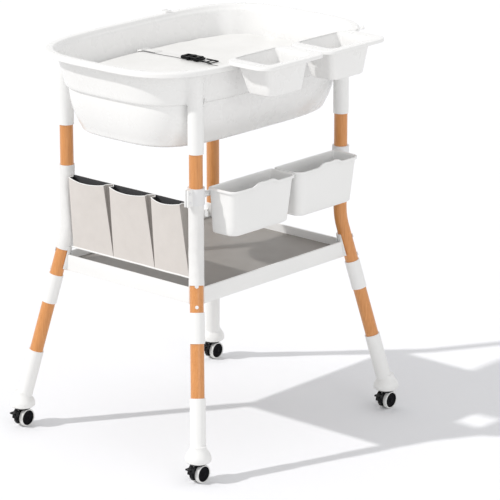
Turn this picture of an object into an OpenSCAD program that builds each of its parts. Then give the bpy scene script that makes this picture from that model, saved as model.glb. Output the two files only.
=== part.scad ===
// Baby bath station: a tub on four splayed legs with casters, a changing pad with a belt,
// hanging boxes and bins, a pocket organizer and a shelf. Millimetres, +Z up, floor at z = 0.
// The tub's long axis is X and the side with the hanging boxes faces -Y.

/* [Stance] */
// Half distance between the upright leg axes, along the tub
leg_x = 256; // [236:1:270]
// Half distance between the upright leg axes, across the tub
leg_y = 207; // [198:1:216]
// Half distance between the caster stems, along the tub
foot_x = 341; // [330:1:350]
// Half distance between the caster stems, across the tub
foot_y = 288; // [270:1:300]
// Height where the upright and the slanted leg axes cross
bend_z = 494; // [480:1:500]
// Height where the slanted leg axis meets the caster stem axis
ankle_z = 59; // [56:1:70]
// Radius of the leg's bend
bend_r = 200; // [120:5:260]

/* [Leg tubes] */
// Outer radius of the leg tubes
tube_r = 16; // [14:0.5:17]
// Wall of the leg tubes
tube_wall = 1.5; // [1:0.1:3]
// Gap between a tube and the bore it sits in
fit_gap = 0.05; // [0.02:0.01:0.1]
// Height of the top of the connector sleeve
sleeve_top_z = 382; // [370:1:390]
// Height of the bottom of the connector sleeve
sleeve_bottom_z = 313; // [300:1:325]
// Outer radius of the connector sleeve
sleeve_r = 18.2; // [18:0.1:20]
// Height of the top of the white foot
foot_top_z = 192; // [180:1:205]
// Depth of the tube socket in the foot
foot_socket = 60; // [40:1:70]
// Outer radius of the foot above its bell
foot_r = 18.5; // [18:0.5:20]

/* [Posts] */
// Outer radius of the white upper posts
post_r = 18.5; // [18:0.5:20]
// Length of the white posts below the tub's shoulder
post_l = 110; // [90:1:120]
// Depth of the leg tube inside the post
post_socket = 61; // [40:1:70]
// Radius of the spigot on top of each post
spigot_r = 8; // [6:0.5:8.5]
// Height of the spigot above the post's shoulder
spigot_h = 32; // [20:1:34]

/* [Foot bell] */
// Radius of the bell over the caster
bell_r = 30.5; // [26:0.5:33]
// Height of the bell's underside
bell_bottom_z = 51; // [48:0.5:53]
// Height of the bell's straight rim
bell_rim_h = 9; // [6:1:12]
// Height of the bell's shoulder above its straight rim
bell_shoulder_h = 29; // [20:1:34]

/* [Snap buttons and shelf bolts] */
// Height of the snap buttons on the legs
button_z = 394; // [391:0.5:396]
// Radius of a snap button
button_r = 4; // [3:0.5:4.5]
// How far a snap button stands out of its tube
button_out = 2.4; // [1.5:0.1:3]
// How far a snap button travels when pressed
button_travel = 2; // [1:0.1:2.2]
// Radius of the flange that keeps the button in its tube
button_flange_r = 5.5; // [5:0.5:7]
// Thickness of that flange
button_flange_t = 1.2; // [0.8:0.1:2]
// Height of the bolts that hold the shelf
bolt_z = 440; // [436:1:444]
// Radius of the shelf bolts
bolt_r = 2.5; // [2:0.5:3]
// Radius of the bolt caps
bolt_cap_r = 4.5; // [4:0.5:6]
// Thickness of the bolt caps
bolt_cap_t = 2; // [1:0.5:3]

/* [Casters] */
// Radius of the caster wheels
wheel_r = 22; // [20:0.5:22.5]
// Width of one wheel
wheel_w = 11; // [9:0.5:13]
// Radius of the black hub in a wheel
hub_r = 19; // [15:0.5:19.5]
// Half of the space between the twin wheels
wheel_gap = 4; // [3.8:0.1:5]
// Half width of the caster's web
web_half_w = 3.6; // [3:0.1:3.7]
// How far the wheel axle trails behind the stem
trail = 4; // [2:0.5:6]
// Radius of the wheel axle
axle_r = 2.5; // [2:0.5:3]
// Radius of the caster stem
stem_r = 4; // [3:0.5:5]
// Length of the caster stem above its plate
stem_h = 24; // [18:1:30]
// Radius of the caster's top plate
plate_r = 18; // [17:0.5:20]
// Reach of the web in front of the stem
web_reach = 26; // [24.5:0.5:28]
// Radius of the brake pedal's pivot pin
pedal_pin_r = 1.5; // [1:0.1:1.8]
// Distance of the pedal's pivot from the stem
pedal_pin_x = 22; // [21.5:0.1:22.5]
// Height of the pedal's pivot
pedal_pin_z = 31; // [30:0.5:32]
// Distance of the pedal's tip from the stem
pedal_reach = 37; // [34:0.5:38.5]
// Thickness of the pedal's plate and cheeks
pedal_t = 2.4; // [1.8:0.1:2.6]
// Thickness of the fender over the inner wheel
fender_t = 2.5; // [1.5:0.1:3]

/* [Tub] */
// Height of the top of the tub's rim
rim_top_z = 950; // [940:1:965]
// Half length of the rim
rim_x = 380; // [372:1:390]
// Half width of the rim
rim_y = 254.5; // [250:0.5:262]
// Height of the rim's turned-down lip
lip_h = 12.5; // [8:0.5:16]
// Thickness of the lip and the rim's flat top
lip_t = 3; // [2:0.5:4]
// Width of the rim's flat top
rim_w = 20; // [16:1:22]
// How far the top of the upper wall lies inside the rim's edge
wall_inset = 24; // [23:1:27]
// How far the outside of the ledge lies inside the rim's edge
ledge_inset = 40; // [38:1:44]
// How far the wall steps in below the ledge
ledge_step = 8; // [7:0.5:10]
// Depth of the ledge below the rim's top
ledge_drop = 84; // [78:1:86]
// Height of the step below the ledge
ledge_h = 5; // [4:0.5:8]
// Depth of the tub's bottom below the rim's top
tub_drop = 198; // [185:1:200]
// How much the lower wall tapers in down to the bottom curve
lower_taper = 24; // [16:1:30]
// Radius of the tub's bottom edge
bottom_curve = 24; // [16:1:28]
// Wall thickness of the tub
tub_wall = 3; // [2.5:0.5:4]

/* [Drain] */
// Distance of the drain from the tub's middle
drain_x = 200; // [120:5:220]
// Radius of the drain bore
drain_r = 14; // [10:0.5:18]
// Outer radius of the drain outlet
outlet_r = 17; // [16:0.5:22]
// Length of the drain outlet below the tub
outlet_h = 10; // [8:1:16]
// Radius of the plug's flange
plug_flange_r = 18; // [16:0.5:24]
// Thickness of the plug's flange
plug_flange_t = 3; // [2:0.5:4]
// Height of the plug's knob
plug_knob_h = 8; // [5:0.5:12]
// Radius of the plug's knob
plug_knob_r = 5; // [4:0.5:7]

/* [Changing pad] */
// Thickness of the board under the pad
board_t = 3.6; // [3:0.1:5]
// How far the board overlaps the ledge from the tub's inner wall
board_side_gap = 3; // [2:0.5:4]
// Gap between the pad and the things around it
soft_gap = 0.4; // [0.3:0.1:0.8]
// Height of the pad's crown above the board
pad_crown = 20; // [18:1:34]
// Gap between the pad's widest line and the tub's wall
pad_side_gap = 2; // [1:0.5:5]

/* [Safety belt] */
// Distance of the belt from the tub's middle, towards the end with the pockets
belt_x = 12; // [0:1:60]
// Width of the webbing
belt_w = 26; // [20:1:30]
// Thickness of the webbing
belt_t = 1.6; // [1.2:0.1:2]
// Width of the buckle
buckle_w = 32; // [30:1:40]
// Length of the buckle's socket half
socket_l = 48; // [36:1:54]
// Length of the visible part of the buckle's tongue half
tongue_l = 48; // [32:1:54]
// Thickness of the buckle
buckle_t = 9; // [8:0.5:12]
// Distance of the buckle's split from the pad's middle
buckle_split_y = 4; // [0:1:15]
// Length of the prongs inside the socket
prong_l = 22; // [16:1:26]
// Width of the end clips
clip_w = 29; // [27:1:34]
// Depth of the end clips
clip_d = 13; // [10:1:16]
// Thickness of the end clips
clip_t = 4; // [3:0.5:5]

/* [Top boxes] */
// Length of a top box's flange
box_l = 217; // [196:1:218]
// Distance between the middles of the two top boxes
box_pitch = 219; // [219:1:226]
// Distance of the flange's front edge from the leg axes' middle
box_front = 386; // [374:1:396]
// Height of the flange's top above the rim
box_rise = 18; // [14:0.5:22]
// Height of the flange's turned-down edge
box_lip_h = 8; // [6:0.5:10]
// Depth of a top box
box_depth = 81; // [64:1:86]
// Wall thickness of the boxes and bins
box_wall = 2.4; // [2:0.1:3]
// Width of the flange at the ends of a box
box_end_flange = 36; // [24:1:40]
// Width of the flange at the front of a box
box_front_flange = 24; // [16:1:34]
// Gap between the tub's rim and a box's back wall
box_rim_gap = 1.5; // [1:0.5:3]
// How much a box's end walls taper in on their way down
box_end_taper = 15; // [8:1:18]
// How much a box's front wall tapers in on its way down
box_front_taper = 7; // [4:1:12]
// How much a box's back wall tapers in on its way down
box_back_taper = 24; // [10:1:26]
// Radius of the corners of a box's flange
box_corner = 35; // [20:1:40]
// Radius of the corners of a box's body
box_body_corner = 16; // [10:1:20]
// Length of a box's hook over the rim
hook_l = 110; // [80:5:115]
// Height of the lip inside the rim
hook_drop = 8; // [5:1:10]
// Thickness of the hook's plate and lip
hook_t = 2.4; // [2:0.1:3]

/* [Storage bins] */
// Length of a bin's flange
bin_l = 222; // [210:1:224]
// Distance between the middles of the two bins
bin_pitch = 228; // [228:1:232]
// Offset of the pair of bins along the rail, towards the end with the pockets
bin_shift = 0; // [0:1:3]
// Height of a bin's rim
bin_top_z = 667; // [664:0.5:672]
// Depth of a bin
bin_depth = 111; // [95:1:114]
// Width of a bin, from the upright leg axes to its front edge
bin_w = 90; // [80:1:96]
// Height of the wave in a bin's front edge
bin_wave_h = 8; // [4:1:12]
// Width of a bin's flange
bin_flange = 4; // [3:0.5:6]
// How much a bin's walls taper in on their way down
bin_taper = 9; // [5:1:14]
// Radius of a bin's front corners
bin_corner = 20; // [12:1:24]
// Radius of a bin's back corners
bin_back_corner = 6; // [5:1:10]

/* [Bin rail] */
// Height of the bin rail's axis
rail_z = 650; // [645:1:652]
// Radius of the bin rail
rail_r = 7; // [5:0.5:8]
// Outer radius of the rail collars
collar_r = 20.5; // [20:0.5:22]
// Height of the top of the rail collars
collar_top_z = 671; // [668:1:674]
// Height of the rail collars
collar_h = 39; // [34:1:42]

/* [Organizer] */
// Height of the hem of the organizer
hem_z = 452; // [448:1:458]
// Height of the pockets' mouths
mouth_z = 630; // [620:1:636]
// Thickness of the organizer's back panel
panel_t = 2; // [1.5:0.1:3]
// Thickness of the pocket fabric
pocket_t = 1.6; // [1.2:0.1:2.4]
// How far the pockets stand out at the corners of their mouths
pocket_out = 23; // [16:1:30]
// How far the pocket fronts bow out beyond that
pocket_bow = 7; // [4:1:10]
// How far the mouths are drawn in on each side
pocket_draw = 9; // [4:1:12]
// Radial gap between the fabric sleeves and the tubes
wrap_gap = 0.4; // [0.3:0.1:0.8]
// Thickness of the fabric sleeves around the legs
wrap_t = 1.6; // [1.2:0.1:2]
// Height of the top of the sleeve on the back leg of the organizer
wrap_top_z = 653; // [645:1:660]
// Height of the lower end of the sleeve on the front leg of the organizer
wrap_bottom_z = 442; // [438:1:446]
// Height of the lower end of the sleeve on its back leg
wrap_back_bottom_z = 464; // [456:1:465]

/* [Shelf] */
// Height of the top of the shelf's frame
shelf_top_z = 433; // [428:1:438]
// Height of the shelf's frame
shelf_h = 39; // [34:1:42]
// How far the frame's outer face lies outside the upright leg axes
shelf_out = 13; // [11:0.5:15]
// Thickness of the frame's wall
shelf_wall = 5; // [4:0.5:6]
// Depth of the board's top below the frame's top
shelf_board_drop = 20; // [14:1:22]
// Thickness of the shelf board
shelf_board_t = 4; // [3:0.5:6]
// Width of the ledge that carries the board
shelf_ledge_w = 14; // [10:1:18]
// Thickness of that ledge
shelf_ledge_t = 4; // [3:0.5:5]
// Wall of the knuckles that clasp the legs
knuckle_t = 5; // [4:0.5:6]
// Height of the knuckles above the frame's top
knuckle_up = 21; // [16:1:24]

/* [Rim clips] */
// Width of the clips on the rim
rim_clip_w = 20; // [12:1:24]
// Thickness of the clips on the rim
rim_clip_t = 3; // [2:0.5:4]

/* [Hidden] */
$fn = 64;

// Cuts run past the faces they open by this much
overrun = 1;
// Small gap that keeps parts of different bodies apart
seat_gap = 0.2;
// Fineness of the lofted rings
ring_n = 72;
corner_n = 6;
// Exponents of the tub's outline: the ends and the sides bulge a little
end_power = 3.94;
side_power = 3.63;

// The whole station is shifted so that the origin is under the middle of its footprint
back_reach = foot_y + bell_r;
mid_y = (box_front - back_reach) / 2;

// Leg geometry
splay_dx = foot_x - leg_x;
splay_dy = foot_y - leg_y;
splay_run = sqrt(splay_dx * splay_dx + splay_dy * splay_dy);
splay = atan(splay_run / (bend_z - ankle_z));
bend_start_z = bend_z + bend_r * tan(splay / 2);
bend_s = bend_r * tan(splay / 2);
// Distance down the slanted axis from its crossing with the upright axis
function leg_s(z) = (bend_z - z) / cos(splay);
sleeve_s0 = leg_s(sleeve_top_z);
sleeve_s1 = leg_s(sleeve_bottom_z);
joint_s = (sleeve_s0 + sleeve_s1) / 2;
foot_s = leg_s(foot_top_z);
ankle_s = leg_s(ankle_z);
button_s = leg_s(button_z);
bolt_s = leg_s(bolt_z);

// Tub heights
ledge_z = rim_top_z - ledge_drop;
shoulder_z = ledge_z - ledge_h;
tub_bottom_z = rim_top_z - tub_drop;
post_bottom_z = shoulder_z - post_l;
tube_top_z = post_bottom_z + post_socket;
tub_floor_z = tub_bottom_z + tub_wall + lip_t / 5;
lower_inset = ledge_inset + ledge_step;
lower_z = tub_bottom_z + bottom_curve / 2;

// Pad heights
board_bottom_z = ledge_z + seat_gap;
board_top_z = board_bottom_z + board_t;
board_inset = ledge_inset + tub_wall + board_side_gap;

// Bin and rail places
bin_front = leg_y + bin_w;
bin_back = leg_y + rail_r + seat_gap;

// Rounded square's corner points, counter-clockwise from the front right corner
function corner_points(cx, cy, r, from, z) =
    [for (i = [0 : corner_n]) [cx + r * cos(from + 90 * i / corner_n), cy + r * sin(from + 90 * i / corner_n), z]];
function rounded_ring(x0, x1, y0, y1, r_front, r_back, z) = concat(
    corner_points(x1 - r_front, y0 + r_front, r_front, -90, z),
    corner_points(x1 - r_back, y1 - r_back, r_back, 0, z),
    corner_points(x0 + r_back, y1 - r_back, r_back, 90, z),
    corner_points(x0 + r_front, y0 + r_front, r_front, 180, z));
// One ring of the tub's outline
function tub_ring(inset, z) = [for (i = [0 : ring_n - 1])
    let (t = 360 * i / ring_n, c = cos(t), s = sin(t))
    [(rim_x - inset) * sign(c) * pow(abs(c), 2 / end_power), (rim_y - inset) * sign(s) * pow(abs(s), 2 / side_power), z]];
// Faces of a stack of k rings with n points each, closed at both ends
function loft_faces(n, k) = concat(
    [[for (i = [0 : n - 1]) i]],
    [for (j = [0 : k - 2]) for (i = [0 : n - 1]) [j * n + i, (j + 1) * n + i, (j + 1) * n + (i + 1) % n]],
    [for (j = [0 : k - 2]) for (i = [0 : n - 1]) [j * n + i, (j + 1) * n + (i + 1) % n, j * n + (i + 1) % n]],
    [[for (i = [n - 1 : -1 : 0]) (k - 1) * n + i]]);
module loft(rings) {
    polyhedron(points = [for (ring = rings) for (point = ring) point], faces = loft_faces(len(rings[0]), len(rings)));
}

module placed() {
    translate([0, mid_y, 0]) children();
}
// The frame of one leg: local X points outward in the plane of the splay
module at_leg(sx, sy) {
    placed()
        translate([sx * leg_x, sy * leg_y, 0])
            rotate([0, 0, atan2(sy * splay_dy, sx * splay_dx)])
                children();
}
// The slanted axis of a leg: local Z points up along it from the crossing of the axes
module along_leg(s) {
    translate([0, 0, bend_z])
        rotate([0, -splay, 0])
            translate([0, 0, -s])
                children();
}
module at_caster(sx, sy) {
    placed()
        translate([sx * foot_x, sy * foot_y, 0])
            children();
}
module wall_ring(r, wall) {
    difference() {
        circle(r);
        circle(r - wall);
    }
}
module cross_bore(r, from, to) {
    translate([from, 0, 0])
        rotate([0, 90, 0])
            cylinder(r = r, h = to - from);
}

// White posts that carry the tub
module post(sx, sy) {
    color("white")
        at_leg(sx, sy) {
            difference() {
                translate([0, 0, post_bottom_z]) cylinder(r = post_r, h = shoulder_z - post_bottom_z);
                translate([0, 0, post_bottom_z - overrun])
                    cylinder(r = tube_r + fit_gap, h = tube_top_z - post_bottom_z + 2 * overrun);
            }
            translate([0, 0, shoulder_z]) cylinder(r = spigot_r, h = spigot_h);
        }
}

// Wood-toned tube with the bend. The bend's own radius differs a little, and laps into the straights.
bend_lap = tube_wall;
bend_lap_turn = bend_lap / bend_r * 180 / PI;
module bent_rod(r, arc_r, top_z, low_s) {
    translate([0, 0, bend_start_z]) cylinder(r = r, h = top_z - bend_start_z);
    translate([bend_r, 0, bend_start_z])
        rotate([90, 0, 0])
            rotate([0, 0, 180 - bend_lap_turn])
                rotate_extrude(angle = splay + 2 * bend_lap_turn, $fn = 200)
                    translate([bend_r, 0]) circle(arc_r, $fn = 64);
    along_leg(low_s) cylinder(r = r, h = low_s - bend_s);
}
module upper_tube(sx, sy) {
    bore_r = tube_r - tube_wall;
    color("peru")
        at_leg(sx, sy)
            difference() {
                bent_rod(tube_r, tube_r - fit_gap, tube_top_z, joint_s);
                bent_rod(bore_r, bore_r + fit_gap, tube_top_z + overrun, joint_s + overrun);
                along_leg(button_s) cross_bore(button_r + fit_gap, tube_r / 2, tube_r + overrun);
                along_leg(bolt_s) cross_bore(bolt_r + fit_gap, -tube_r - overrun, tube_r + overrun);
            }
}
module sleeve(sx, sy) {
    color("white")
        at_leg(sx, sy)
            along_leg(sleeve_s1)
                linear_extrude(sleeve_s1 - sleeve_s0) wall_ring(sleeve_r, sleeve_r - tube_r - fit_gap);
}
module lower_tube(sx, sy) {
    color("peru")
        at_leg(sx, sy)
            along_leg(foot_s + foot_socket)
                linear_extrude(foot_s + foot_socket - joint_s) wall_ring(tube_r, tube_wall);
}

// White foot with a bell over its caster
bell_steps = 8;
bell_neck_r = foot_r;
bell_profile = concat(
    [[0, 0], [bell_r - lip_t, 0], [bell_r, lip_t]],
    [for (i = [0 : bell_steps])
        [bell_neck_r + (bell_r - bell_neck_r) * (1 + cos(180 * i / bell_steps)) / 2,
            bell_rim_h + bell_shoulder_h * i / bell_steps]],
    [[0, bell_rim_h + bell_shoulder_h]]);
module foot(sx, sy) {
    color("white")
        at_leg(sx, sy)
            difference() {
                union() {
                    along_leg(ankle_s) cylinder(r = foot_r, h = ankle_s - foot_s);
                    translate([splay_run, 0, bell_bottom_z]) rotate_extrude() polygon(bell_profile);
                }
                along_leg(foot_s + foot_socket) cylinder(r = tube_r + fit_gap, h = foot_socket + overrun);
                translate([splay_run, 0, bell_bottom_z - overrun])
                    cylinder(r = stem_r + fit_gap, h = stem_h + 2 * overrun);
            }
}

// Snap button: a round head with a flange that the tube's wall holds back
module snap_button(sx, sy) {
    flange_x = tube_r - tube_wall - button_flange_t - seat_gap - (button_flange_r * button_flange_r) / (2 * tube_r);
    color("white")
        at_leg(sx, sy)
            along_leg(button_s) {
                cross_bore(button_r, flange_x, tube_r + button_out);
                cross_bore(button_flange_r, flange_x, flange_x + button_flange_t);
            }
}

// Caster fork: top plate, stem, web, fender and wheel axle in one piece
plate_z = 2 * wheel_r + 3 * seat_gap;
plate_top_z = bell_bottom_z - seat_gap;
cheek_y = wheel_gap + seat_gap;
fender_r = wheel_r + 3 * seat_gap;
fender_y = cheek_y + pedal_t + 3 * seat_gap;
// Shares of the web's reach and of the plate's height
web_outline_share = [
    [-0.78, 0.24], [0.3, 0.2], [0.75, 0.5], [0.7, 0.85], [0.6, 1.02], [-0.35, 1.02],
    [-0.35, 0.86], [-0.45, 0.8], [-0.88, 0.8], [-1, 0.72], [-1, 0.42]
];
module caster_fork(sx, sy) {
    color("black")
        at_caster(sx, sy) {
            difference() {
                rotate([90, 0, 0])
                    translate([0, 0, -web_half_w])
                        linear_extrude(2 * web_half_w)
                            union() {
                                polygon([for (p = web_outline_share) [p[0] * web_reach, p[1] * plate_z]]);
                                translate([trail, wheel_r]) circle(wheel_r * 3 / 4);
                            }
                translate([-pedal_pin_x, 0, pedal_pin_z])
                    rotate([90, 0, 0])
                        cylinder(r = pedal_pin_r + fit_gap, h = 2 * (web_half_w + overrun), center = true);
            }
            translate([0, 0, plate_z]) cylinder(r = plate_r, h = plate_top_z - plate_z);
            translate([0, 0, plate_top_z - overrun]) cylinder(r = stem_r, h = stem_h + overrun);
            translate([trail, fender_y, wheel_r])
                rotate([-90, 90, 0])
                    rotate([0, 0, 88])
                        rotate_extrude(angle = 110)
                            translate([fender_r, 0])
                                square([fender_t, wheel_gap + wheel_w - fender_y]);
            translate([trail, 0, wheel_r])
                rotate([90, 0, 0])
                    cylinder(r = axle_r, h = 2 * (wheel_gap + wheel_w * 4 / 5), center = true);
        }
}
// Both wheels of one caster: child 0 is turned about the axle and copied to both sides
module twin() {
    for (side = [-1, 1])
        translate([trail, side * (wheel_gap + wheel_w / 2), wheel_r])
            rotate([-90 * side, 0, 0])
                children();
}
tyre_edge = wheel_w / 8;
module caster_tyres(sx, sy) {
    color("white")
        at_caster(sx, sy)
            twin()
                rotate_extrude()
                    polygon([
                        [hub_r + fit_gap, -wheel_w / 2], [wheel_r - tyre_edge, -wheel_w / 2],
                        [wheel_r, -wheel_w / 2 + tyre_edge], [wheel_r, wheel_w / 2 - tyre_edge],
                        [wheel_r - tyre_edge, wheel_w / 2], [hub_r + fit_gap, wheel_w / 2]]);
}
module caster_hubs(sx, sy) {
    color("black")
        at_caster(sx, sy)
            twin()
                difference() {
                    union() {
                        translate([0, 0, -wheel_w / 2 + seat_gap]) cylinder(r = hub_r, h = wheel_w - seat_gap - tyre_edge / 4);
                        translate([0, 0, wheel_w / 2 - tyre_edge / 4])
                            cylinder(r1 = hub_r, r2 = hub_r - tyre_edge, h = tyre_edge / 4);
                    }
                    translate([0, 0, -wheel_w / 2 - overrun])
                        cylinder(r = axle_r + fit_gap, h = wheel_w * 4 / 5 + overrun + seat_gap);
                }
}
pedal_z = pedal_pin_z + web_reach * 0.31;
module brake_pedal(sx, sy) {
    color("dimgray")
        at_caster(sx, sy) {
            translate([-pedal_pin_x, 0, pedal_pin_z])
                rotate([90, 0, 0])
                    cylinder(r = pedal_pin_r, h = 2 * (cheek_y + pedal_t), center = true);
            for (side = [-1, 1])
                translate([-pedal_pin_x, side * (cheek_y + pedal_t / 2), pedal_pin_z])
                    rotate([90, 0, 0])
                        translate([0, 0, -pedal_t / 2])
                            linear_extrude(pedal_t)
                                union() {
                                    circle(2 * pedal_t / 1.6);
                                    translate([-2 * pedal_t, 0]) square([3.6 * pedal_t / 1.15, pedal_z - pedal_pin_z + pedal_t / 2]);
                                }
            translate([-pedal_reach, -cheek_y - pedal_t, pedal_z])
                cube([pedal_reach - pedal_pin_x + 2.4 * pedal_t, 2 * (cheek_y + pedal_t), pedal_t]);
            translate([-pedal_reach, -cheek_y - pedal_t, pedal_z - pedal_t / 2])
                cube([pedal_t, 2 * (cheek_y + pedal_t), pedal_t]);
        }
}

// Tub: an outer body with four sockets, hollowed out
curve_n = 4;
// One quarter curve at the bottom edge, from the floor out to the wall
function bottom_rings(inset, curve, z0, rise) = [for (i = [0 : curve_n])
    tub_ring(inset + curve * (1 - sin(90 * i / curve_n)), z0 + rise * (1 - cos(90 * i / curve_n)))];
module tub_outside() {
    loft(concat(
        bottom_rings(lower_inset + lower_taper, bottom_curve, tub_bottom_z, bottom_curve / 2),
        [
            tub_ring(lower_inset, shoulder_z),
            tub_ring(ledge_inset, ledge_z),
            tub_ring(wall_inset, rim_top_z - lip_h)
        ]));
}
module rim_plate() {
    difference() {
        loft([
            tub_ring(0, rim_top_z - lip_h), tub_ring(0, rim_top_z - lip_t / 2),
            tub_ring(lip_t / 4, rim_top_z - lip_t / 6), tub_ring(lip_t / 2, rim_top_z)
        ]);
        difference() {
            loft([tub_ring(lip_t, rim_top_z - lip_h - overrun), tub_ring(lip_t, rim_top_z - lip_t)]);
            loft([
                tub_ring(wall_inset + lip_h / 4, rim_top_z - 2 * lip_h), tub_ring(wall_inset, rim_top_z - lip_h),
                tub_ring(rim_w - lip_t, rim_top_z - lip_t / 2)
            ]);
        }
    }
}
module tub_inside() {
    wall = tub_wall;
    loft(concat(
        bottom_rings(lower_inset + lower_taper + wall, bottom_curve, tub_floor_z, bottom_curve / 2),
        [
            tub_ring(lower_inset + wall, ledge_z - lip_t / 6),
            tub_ring(lower_inset + wall - lip_t / 6, ledge_z),
            tub_ring(ledge_inset + wall, ledge_z),
            tub_ring(wall_inset + wall, rim_top_z - lip_h),
            tub_ring(rim_w + lip_t / 2, rim_top_z - lip_t),
            tub_ring(rim_w - lip_t / 2, rim_top_z),
            tub_ring(rim_w - lip_t / 2, rim_top_z + overrun)
        ]));
}
module tub() {
    color("white")
        placed()
            difference() {
                union() {
                    tub_outside();
                    rim_plate();
                    for (sx = [-1, 1])
                        for (sy = [-1, 1])
                            translate([sx * leg_x, sy * leg_y, shoulder_z])
                                cylinder(r = post_r, h = rim_top_z - lip_t - shoulder_z);
                    translate([-drain_x, 0, tub_bottom_z - outlet_h]) cylinder(r = outlet_r, h = outlet_h + overrun);
                }
                tub_inside();
                for (sx = [-1, 1])
                    for (sy = [-1, 1])
                        translate([sx * leg_x, sy * leg_y, shoulder_z - overrun])
                            cylinder(r = spigot_r + fit_gap, h = spigot_h + 2 * overrun);
                translate([-drain_x, 0, tub_bottom_z - outlet_h - overrun])
                    cylinder(r = drain_r, h = outlet_h + tub_wall + 2 * overrun);
            }
}
// Shares of the rim's half length and half width where the clips straddle its edge, and their turn
rim_clip_share = [[0.8, -0.88, -45], [0.33, 0.975, 84]];
module rim_clips() {
    color("white")
        placed()
            for (clip = rim_clip_share)
                translate([clip[0] * rim_x, clip[1] * rim_y, rim_top_z])
                    rotate([0, 0, clip[2]])
                        difference() {
                            translate([-rim_w / 2, -rim_clip_w / 2, 0]) cube([rim_w, rim_clip_w, 2 * rim_clip_t]);
                            translate([-rim_w / 4, -rim_clip_w / 4, rim_clip_t])
                                cube([rim_w / 2, rim_clip_w / 2, 2 * rim_clip_t]);
                        }
}
module drain_plug() {
    color("gray")
        placed()
            translate([-drain_x, 0, tub_floor_z + seat_gap]) {
                translate([0, 0, -tub_wall * 2]) cylinder(r = drain_r - fit_gap, h = tub_wall * 2 + overrun);
                cylinder(r = plug_flange_r, h = plug_flange_t);
                translate([0, 0, plug_flange_t]) cylinder(r = plug_knob_r, h = plug_knob_h);
            }
}

// Changing pad
module pad_board() {
    color("whitesmoke")
        placed()
            loft([tub_ring(board_inset, board_bottom_z), tub_ring(board_inset, board_top_z)]);
}
pad_bottom_z = board_top_z + seat_gap;
pad_inset = ledge_inset + tub_wall + pad_side_gap;
// Shares of the crown's height, and of the half width, that the pad's side and top pass through
pad_side_share = [[0.07, 0], [0.035, 0.08], [0.01, 0.22], [0, 0.38], [0.012, 0.52], [0.045, 0.66], [0.11, 0.77],
    [0.22, 0.86], [0.4, 0.93], [0.6, 0.975], [0.8, 0.995]];
function pad_z(share) = pad_bottom_z + share * pad_crown;
module pad_cushion() {
    color("white")
        placed()
            loft(concat(
                [for (p = pad_side_share) tub_ring(pad_inset + p[0] * (rim_y - pad_inset), pad_z(p[1]))],
                [tub_ring(pad_inset + 0.9 * (rim_y - pad_inset), pad_z(1))]));
}

// Webbing that follows the pad's crown, drawn in the plane across the pad
belt_lift = soft_gap + belt_t / 4;
belt_path = concat(
    [for (i = [4 : len(pad_side_share) - 1])
        [(rim_y - pad_inset) * (1 - pad_side_share[i][0]), pad_z(pad_side_share[i][1]) + belt_lift]],
    [[(rim_y - pad_inset) / 10, pad_z(1) + belt_lift]]);
// Part of the belt on one side of the pad, down to the inner end
module strap(side, inner) {
    outline = concat(
        [for (p = belt_path) if (p[0] > inner) [p[0], p[1]]],
        [[inner, pad_z(1) + belt_lift], [inner, pad_z(1) + belt_lift + belt_t]],
        [for (i = [len(belt_path) - 1 : -1 : 0]) if (belt_path[i][0] > inner) [belt_path[i][0], belt_path[i][1] + belt_t]]);
    translate([-belt_x, 0, 0])
        rotate([90, 0, side > 0 ? 90 : -90])
            translate([0, 0, -belt_w / 2])
                linear_extrude(belt_w) polygon(outline);
}
strap_top_z = pad_z(1) + belt_lift + belt_t;
module belt_webbing() {
    clip_y = belt_path[2][0];
    clip_z = belt_path[2][1] + belt_t + seat_gap;
    color("whitesmoke")
        placed() {
            strap(1, buckle_split_y + socket_l + seat_gap);
            strap(-1, -buckle_split_y + seat_gap + belt_t);
            for (side = [-1, 1])
                translate([-belt_x - clip_w / 2, side * clip_y - clip_d / 2, clip_z + clip_t / 6])
                    cube([clip_w, clip_d, clip_t]);
        }
}
buckle_z = strap_top_z + seat_gap;
module buckle_socket() {
    prong_room = buckle_t / 4;
    color("black")
        placed()
            translate([-belt_x, buckle_split_y, buckle_z])
                difference() {
                    translate([-buckle_w / 2, 0, 0]) cube([buckle_w, socket_l, buckle_t]);
                    translate([-buckle_w / 2 + prong_room, -overrun, prong_room])
                        cube([buckle_w - 2 * prong_room, prong_l + 2 * overrun, buckle_t - 2 * prong_room]);
                    for (side = [-1, 1])
                        translate([side * buckle_w / 2 - prong_room * 1.5, prong_l / 3, prong_room])
                            cube([3 * prong_room, prong_l / 2, buckle_t - 2 * prong_room]);
                    translate([-belt_w / 2 - overrun, socket_l - prong_l / 2, -overrun])
                        cube([belt_w + 2 * overrun, prong_l / 4, buckle_t + 2 * overrun]);
                }
}
module buckle_tongue() {
    prong_room = buckle_t / 4;
    prong_t = buckle_t - 2 * prong_room - 2 * soft_gap;
    prong_w = buckle_w / 7;
    color("black")
        placed()
            translate([-belt_x, buckle_split_y - seat_gap, buckle_z]) {
                difference() {
                    translate([-buckle_w / 2, -tongue_l, 0]) cube([buckle_w, tongue_l, buckle_t * 3 / 4]);
                    translate([-belt_w / 2 - overrun, -tongue_l + prong_l / 4, -overrun])
                        cube([belt_w + 2 * overrun, prong_l / 4, buckle_t + 2 * overrun]);
                }
                for (x = [-buckle_w / 2 + prong_room + soft_gap, -prong_w / 2, buckle_w / 2 - prong_room - soft_gap - prong_w])
                    translate([x, -overrun, prong_room + soft_gap])
                        cube([prong_w, prong_l + overrun, prong_t]);
            }
}

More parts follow.
